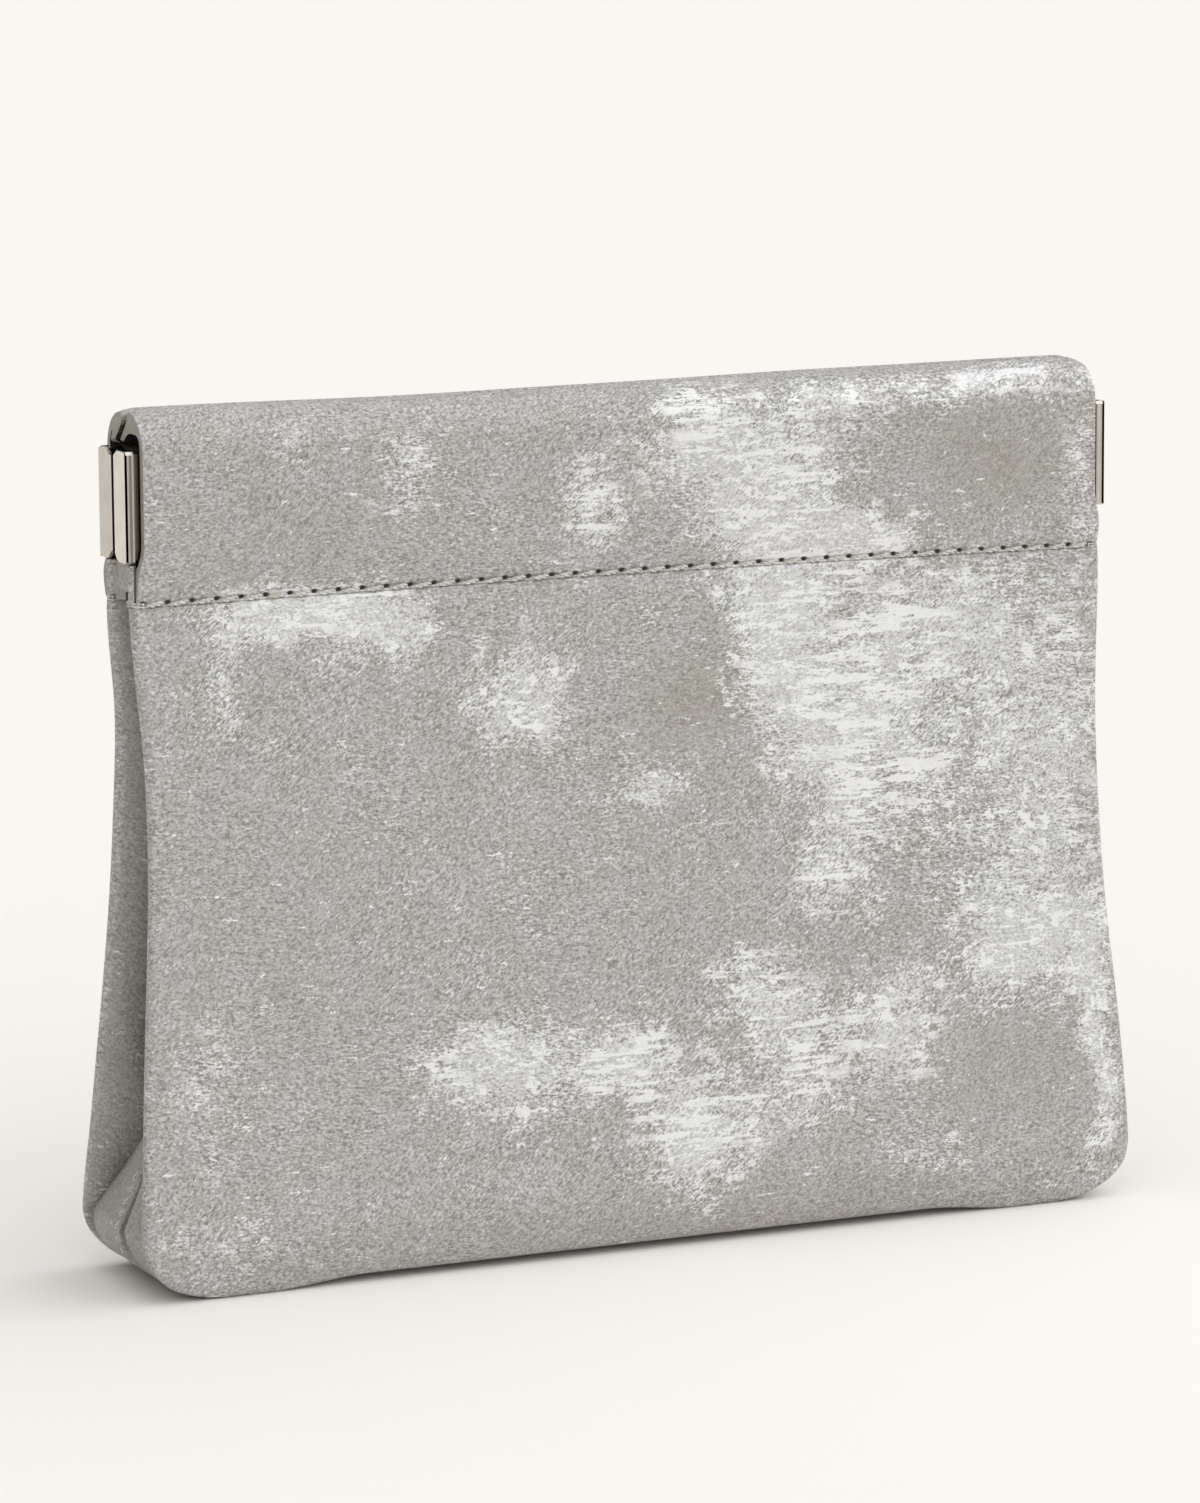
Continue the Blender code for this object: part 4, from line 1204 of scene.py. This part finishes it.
def leather_material():
    """Grained grey leather with a worn silver foil, brushed on and partly rubbed away, with painted shade in
    its hollows and along its seam.
    """
    material, tree = new_material("worn_silver_leather", Specular_IOR_Level=0.35)
    at = painted(tree, "hide_at", "Vector")
    foil, dull_and_shade = painted(tree, "foil"), painted(tree, "dull_and_shade")

    # Short dashes, level in some places and slanting in others, and finer grain over them
    about_z = {"rotation_type": "Z_AXIS"}
    turned = add_node(tree, "ShaderNodeVectorRotate", 0, about_z, Vector=at, Angle=DASH_SLANT)
    level_dash, slant_dash = (noise_at(v, DASH_SCALE, 2.0, 0.6) for v in (at, turned))
    side = stretch(noise_at(at, 55.0, 2.0), 0.42, 0.58)
    fine = side * (slant_dash - level_dash) + level_dash
    flakes = add_node(tree, "ShaderNodeTexVoronoi", "Color", Vector=at, Scale=4600.0)
    flake = add_node(tree, "ShaderNodeSeparateColor", "Red", Color=flakes) - 0.5
    grain = fine * 0.68 + noise_at(at, 2300.0, 2.0, 0.6) * 0.32
    grain = stretch(grain, 0.33, 0.67, soft=False)
    grain = (flake * 0.55).calc("ADD", grain, clamp=True)

    # Where the foil still covers the hide
    patch = noise_at(at, 330.0, 4.0, 0.55) - 0.5
    along = noise_at(at, (420.0, 2000.0, 60.0), 3.0, 0.6)
    up = noise_at(at, (2000.0, 420.0, 60.0), 3.0, 0.6)
    streak = along + painted(tree, "upright") * (up - along) - 0.5
    cover = foil * 0.95 + patch * 1.1 + (noise_at(at, 70.0, 3.0) - 0.5) * 0.6 + 0.10
    cover = cover + streak * (foil * 0.8 + 0.35) - dull_and_shade * 0.4
    mask = stretch(cover + (grain - 0.5) * 0.7, 0.28, 0.86)
    tint = stretch(noise_at(at, 150.0, 3.0), 0.35, 0.65)
    low = blend_colour(tint, srgb(128, 126, 120), srgb(134, 129, 128))
    high = blend_colour(tint, srgb(204, 203, 198), srgb(209, 206, 206))
    ground = blend_colour(dull_and_shade * 0.5, blend_colour(grain, low, high), srgb(155, 150, 139))
    foil_colour = blend_colour(grain, srgb(182, 181, 180), srgb(228, 228, 228))
    colour = blend_colour(mask, ground, foil_colour)

    # Bright flecks, and chips of foil in lines and blobs
    rows = noise_at(at, (330.0, 1150.0, 30.0), 2.0) - 0.5
    fleck = rows * 0.6 + (fine - 0.5) * 0.8 + flake * 0.16 + streak * 1.5 + patch * 0.5 + foil * 0.22
    colour = blend_colour(stretch(fleck, 0.30, 0.46) * 0.85, colour, srgb(240, 240, 239))
    ragged = (fine - 0.5) * 0.22
    lines = stretch(ragged + noise_at(at, (150.0, 1050.0, 40.0), 3.0, 0.65), 0.53, 0.58)
    lines = lines * stretch(noise_at(at, 62.0, 2.0), 0.46, 0.56)
    blobs = stretch(ragged + noise_at(at, (420.0, 560.0, 40.0), 4.0, 0.72), 0.575, 0.605)
    chip = lines.calc("MAXIMUM", blobs) * stretch(patch * 0.8 + foil, 0.12, 0.5, 0.0, 0.85)
    colour = blend_colour(chip, colour, srgb(238, 238, 238))

    # Painted shade in the gusset, in the channel's hollow ends, in the groove of the seam and in its needle
    # holes
    # Painted shade of the hollows, darkened towards near black
    recess_shade = painted(tree, "recess_shade")
    recess_shade = recess_shade * 0.86 - recess_shade * (grain - 0.5) * 0.25
    colour = blend_colour(recess_shade, colour, srgb(46, 41, 37))
    # Painted shadow under the seam's thread and painted shade in its needle holes
    groove, hole_shade = stitch_shade(at)
    colour = blend_colour(groove, colour, srgb(104, 94, 91))
    colour = blend_colour(hole_shade, colour, srgb(50, 39, 37))
    rounded = {"feature": "SMOOTH_F1"}
    pebble = add_node(tree, "ShaderNodeTexVoronoi", "Distance", rounded, Vector=at, Scale=2300.0)
    height = fine * 0.4 + pebble * 0.5 + streak * 0.3
    metal = stretch(mask, 0, 1, 0.2, 0.45, soft=False)
    inputs = {"Base_Color": colour, "Metallic": metal, "Roughness": grain * -0.10 + 0.56}
    return finish_material(material, height, 0.5, 0.09, **inputs)


def stitch_shade(at):
    """How much painted shade is at a place: of the groove under the seam's thread, around its needle holes,
    and of the holes themselves.
    """
    across, over = (add_node(at.tree, "ShaderNodeSeparateXYZ", axis, Vector=at) for axis in "XY")
    pitch = 2 * STITCH_REACH / STITCHES * MM
    aside = (across * (1 / pitch) + (STITCH_REACH * MM / pitch + 0.5)).calc("FRACT") - 0.5
    over = over - STITCH_HEIGHT * MM
    low = (over + GROOVE_DROP * MM).calc("ABSOLUTE")
    groove = stretch(low, GROOVE_TALL * MM, 0.2 * GROOVE_TALL * MM, 0.0, 0.6)
    over = over - HOLE_LIFT * MM

    def spot(wide, tall, strength):
        u, v = aside * (pitch / (wide * MM)), over * (1 / (tall * MM))
        return stretch(u * u + v * v, 1.3, 0.4, 0.0, strength)

    return groove.calc("MAXIMUM", spot(HOLE_SHADE_WIDE, HOLE_SHADE_TALL, 0.7)), spot(HOLE_WIDE, HOLE_TALL, 1.0)


def fibre_material(name, scale, detail, roughness, shades, bump, on_hide=False, **fixed):
    """A material with a fine pattern between two shades. Its bump is a strength and a height."""
    material, tree = new_material(name, **fixed)
    at = painted(tree, "hide_at", "Vector") if on_hide else add_node(tree, "ShaderNodeTexCoord", "Object")
    fibre = noise_at(at, scale, detail, roughness)
    colour = blend_colour(stretch(fibre, 0.3, 0.7), srgb(*shades[0]), srgb(*shades[1]))
    if len(shades) > 2:
        colour = blend_colour(stretch(noise_at(at, 90.0, 3.0), 0.3, 0.7), colour, srgb(*shades[2]))
    return finish_material(material, fibre, *bump, Base_Color=colour)


def nickel_material():
    """Polished nickel with faint upright polishing marks and handling haze, and painted shade and reflections
    on its faces.
    """
    material, tree = new_material("polished_nickel", Metallic=1.0)
    at = add_node(tree, "ShaderNodeTexCoord", "Object")
    marks = noise_at(at, (9000.0, 9000.0, 240.0), 3.0, 0.6)
    haze = noise_at(at, 420.0, 3.0)
    bare = blend_colour(stretch(haze, 0.3, 0.7), srgb(216, 209, 199), srgb(226, 220, 211))
    # Painted shade and reflections: the colour falls towards near black by each face's painted share
    colour = blend_colour(painted(tree, "painted_shading"), srgb(8, 7, 6), bare)
    rough = marks * 0.10 + haze * 0.08 + 0.10
    return finish_material(material, marks, 0.08, 0.02, Base_Color=colour, Roughness=rough)


def steel_material():
    """Spring steel, brushed along its length."""
    material, tree = new_material("brushed_spring_steel", Metallic=1.0)
    brush = noise_at(add_node(tree, "ShaderNodeTexCoord", "Object"), (300.0, 9000.0, 9000.0), 3.0, 0.6)
    colour = blend_colour(brush, srgb(150, 147, 143), srgb(190, 187, 182))
    return finish_material(material, brush, 0.15, 0.03, Base_Color=colour, Roughness=brush * 0.2 + 0.22)


def build_camera():
    """Camera at the photograph's viewing angle, a little rolled."""
    azimuth, elevation, roll = (math.radians(a) for a in (CAMERA_AZIMUTH, CAMERA_ELEVATION, CAMERA_ROLL))
    level = math.cos(elevation)
    forward = np.array((math.sin(azimuth) * level, math.cos(azimuth) * level, -math.sin(elevation)))
    right = np.array((math.cos(azimuth), -math.sin(azimuth), 0.0))
    up = np.cross(right, forward)
    turned_right = right * math.cos(roll) + up * math.sin(roll)
    turned_up = up * math.cos(roll) - right * math.sin(roll)
    data = bpy.data.cameras.new("photo_camera")
    data.sensor_fit = "VERTICAL"
    data.sensor_height = data.sensor_width = SENSOR
    data.lens = CAMERA_FOCUS * SENSOR / PHOTO_HEIGHT
    data.clip_start, data.clip_end = CAMERA_CLIP
    camera = bpy.data.objects.new("photo_camera", data)
    place = (CAMERA_TARGET - CAMERA_DISTANCE * forward) * MM
    matrix = np.eye(4)
    matrix[:3] = np.column_stack((turned_right, turned_up, -forward, place))
    camera.matrix_world = Matrix(matrix.tolist())
    bpy.context.scene.collection.objects.link(camera)
    bpy.context.scene.camera = camera


def build_stage():
    """Pale seamless floor under a soft sky that is brighter to the right, in front and above."""
    mesh = bpy.data.meshes.new("floor")
    corners = [(x * FLOOR_REACH, y * FLOOR_REACH, 0) for x, y in ((-1, -1), (1, -1), (1, 1), (-1, 1))]
    mesh.from_pydata(corners, [], [[0, 1, 2, 3]])
    floor = bpy.data.objects.new("floor", mesh)
    bpy.context.scene.collection.objects.link(floor)
    paper = srgb(*PAPER)
    matt, _ = new_material("paper_floor", Base_Color=paper, Roughness=0.9, Specular_IOR_Level=0.0)
    mesh.materials.append(matt)
    world = bpy.data.worlds.new("soft_sky")
    bpy.context.scene.world = world
    world.use_nodes = True
    tree = world.node_tree
    towards = add_node(tree, "ShaderNodeTexCoord", "Generated")
    dot = tree.nodes.new("ShaderNodeVectorMath")
    dot.operation = "DOT_PRODUCT"
    feed(tree, dot.inputs[0], towards)
    feed(tree, dot.inputs[1], Vector(SKY_FROM).normalized())
    sky = stretch(Value(tree, dot.outputs["Value"]), SKY_BACK, 1.0, SKY_LOW * SKY_LEVEL, SKY_HIGH * SKY_LEVEL)
    height = add_node(tree, "ShaderNodeSeparateXYZ", "Z", Vector=towards)
    sky = sky * stretch(height, HORIZON_LOW, HORIZON_HIGH)
    in_gloss = add_node(tree, "ShaderNodeLightPath", "Is Glossy Ray") * STUDIO_WHITE
    seen = add_node(tree, "ShaderNodeLightPath", "Is Camera Ray")
    sky = in_gloss * (sky * -1.0 + 1.0) + sky
    strength = seen * (sky * -1.0 + 1.0) + sky
    background = {"Strength": strength, "Color": blend_colour(seen, (1.0, 1.0, 1.0), paper)}
    feed_all(tree, tree.nodes["Background"], background)


# Build and dress

nap = {"scale": 1800.0, "detail": 4.0, "roughness": 0.65, "bump": (0.6, 0.15), "on_hide": True}
dense = {"detail": 3.0, "roughness": 0.6}
leather = leather_material()
flesh_shades = ((112, 107, 99), (150, 144, 134), (134, 128, 118))
flesh = fibre_material(
    "leather_flesh_side", shades=flesh_shades, Roughness=0.9, Specular_IOR_Level=0.2, **nap
)
# Near-black lining for the channel's inner faces, a painted shade for the inside of the channel
shadow_lining_shades = ((44, 40, 36), (70, 65, 59))
shadow_lining = fibre_material("channel_inside_shadow", shades=shadow_lining_shades, Roughness=0.95, Specular_IOR_Level=0.1, **nap)
edge_shades = ((140, 136, 128), (184, 181, 171))
cut_edge = fibre_material(
    "leather_cut_edge", (1500.0, 9000.0, 1500.0), shades=edge_shades, bump=(0.4, 0.1), Roughness=0.75, **dense
)
thread_shades = ((168, 168, 161), (230, 230, 224))
thread = fibre_material(
    "waxed_thread", (2600.0, 5200.0, 5200.0), shades=thread_shades, bump=(0.5, 0.06), Roughness=0.5, **dense
)
nickel = nickel_material()
steel = steel_material()
hide_materials = [leather, flesh, cut_edge]
channel_materials = [leather, shadow_lining, cut_edge]

for side, facing in (("front", -1), ("rear", 1)):
    body, weights, grid = build_body(f"{side}_leather_skin", facing, hide_materials)
    if side == "rear":
        build_base_thread("base_seam_thread", grid, thread)
    bow_with_mouth(body)
    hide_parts(f"{side}_leather")
    channel, weights = build_channel(f"{side}_channel_skin", facing, channel_materials)
    bow_with_mouth(channel)
    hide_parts(f"{side}_channel")
    seam, weights = build_seam_thread(f"{side}_seam_thread", facing, thread)
    bow_with_mouth(seam)
    strip, weights = build_strip(f"{side}_spring_strip", facing, steel)
    bow_with_mouth(strip)
    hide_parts(f"{side}_strip")

for side, end in (("left", -1), ("right", 1)):
    for half, facing in (("front", -1), ("rear", 1)):
        leaf = build_leaf(f"{side}_{half}_hinge_leaf", end, facing, half == "front", nickel)
        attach(leaf, f"{side}_{half}_leaf")
        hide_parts(f"{side}_{half}_leaf")
    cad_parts[f"{side}_pin"].data.materials[0] = nickel

build_stage()
build_camera()
bpy.context.scene.view_settings.view_transform = "Standard"

bpy.context.view_layer.update()
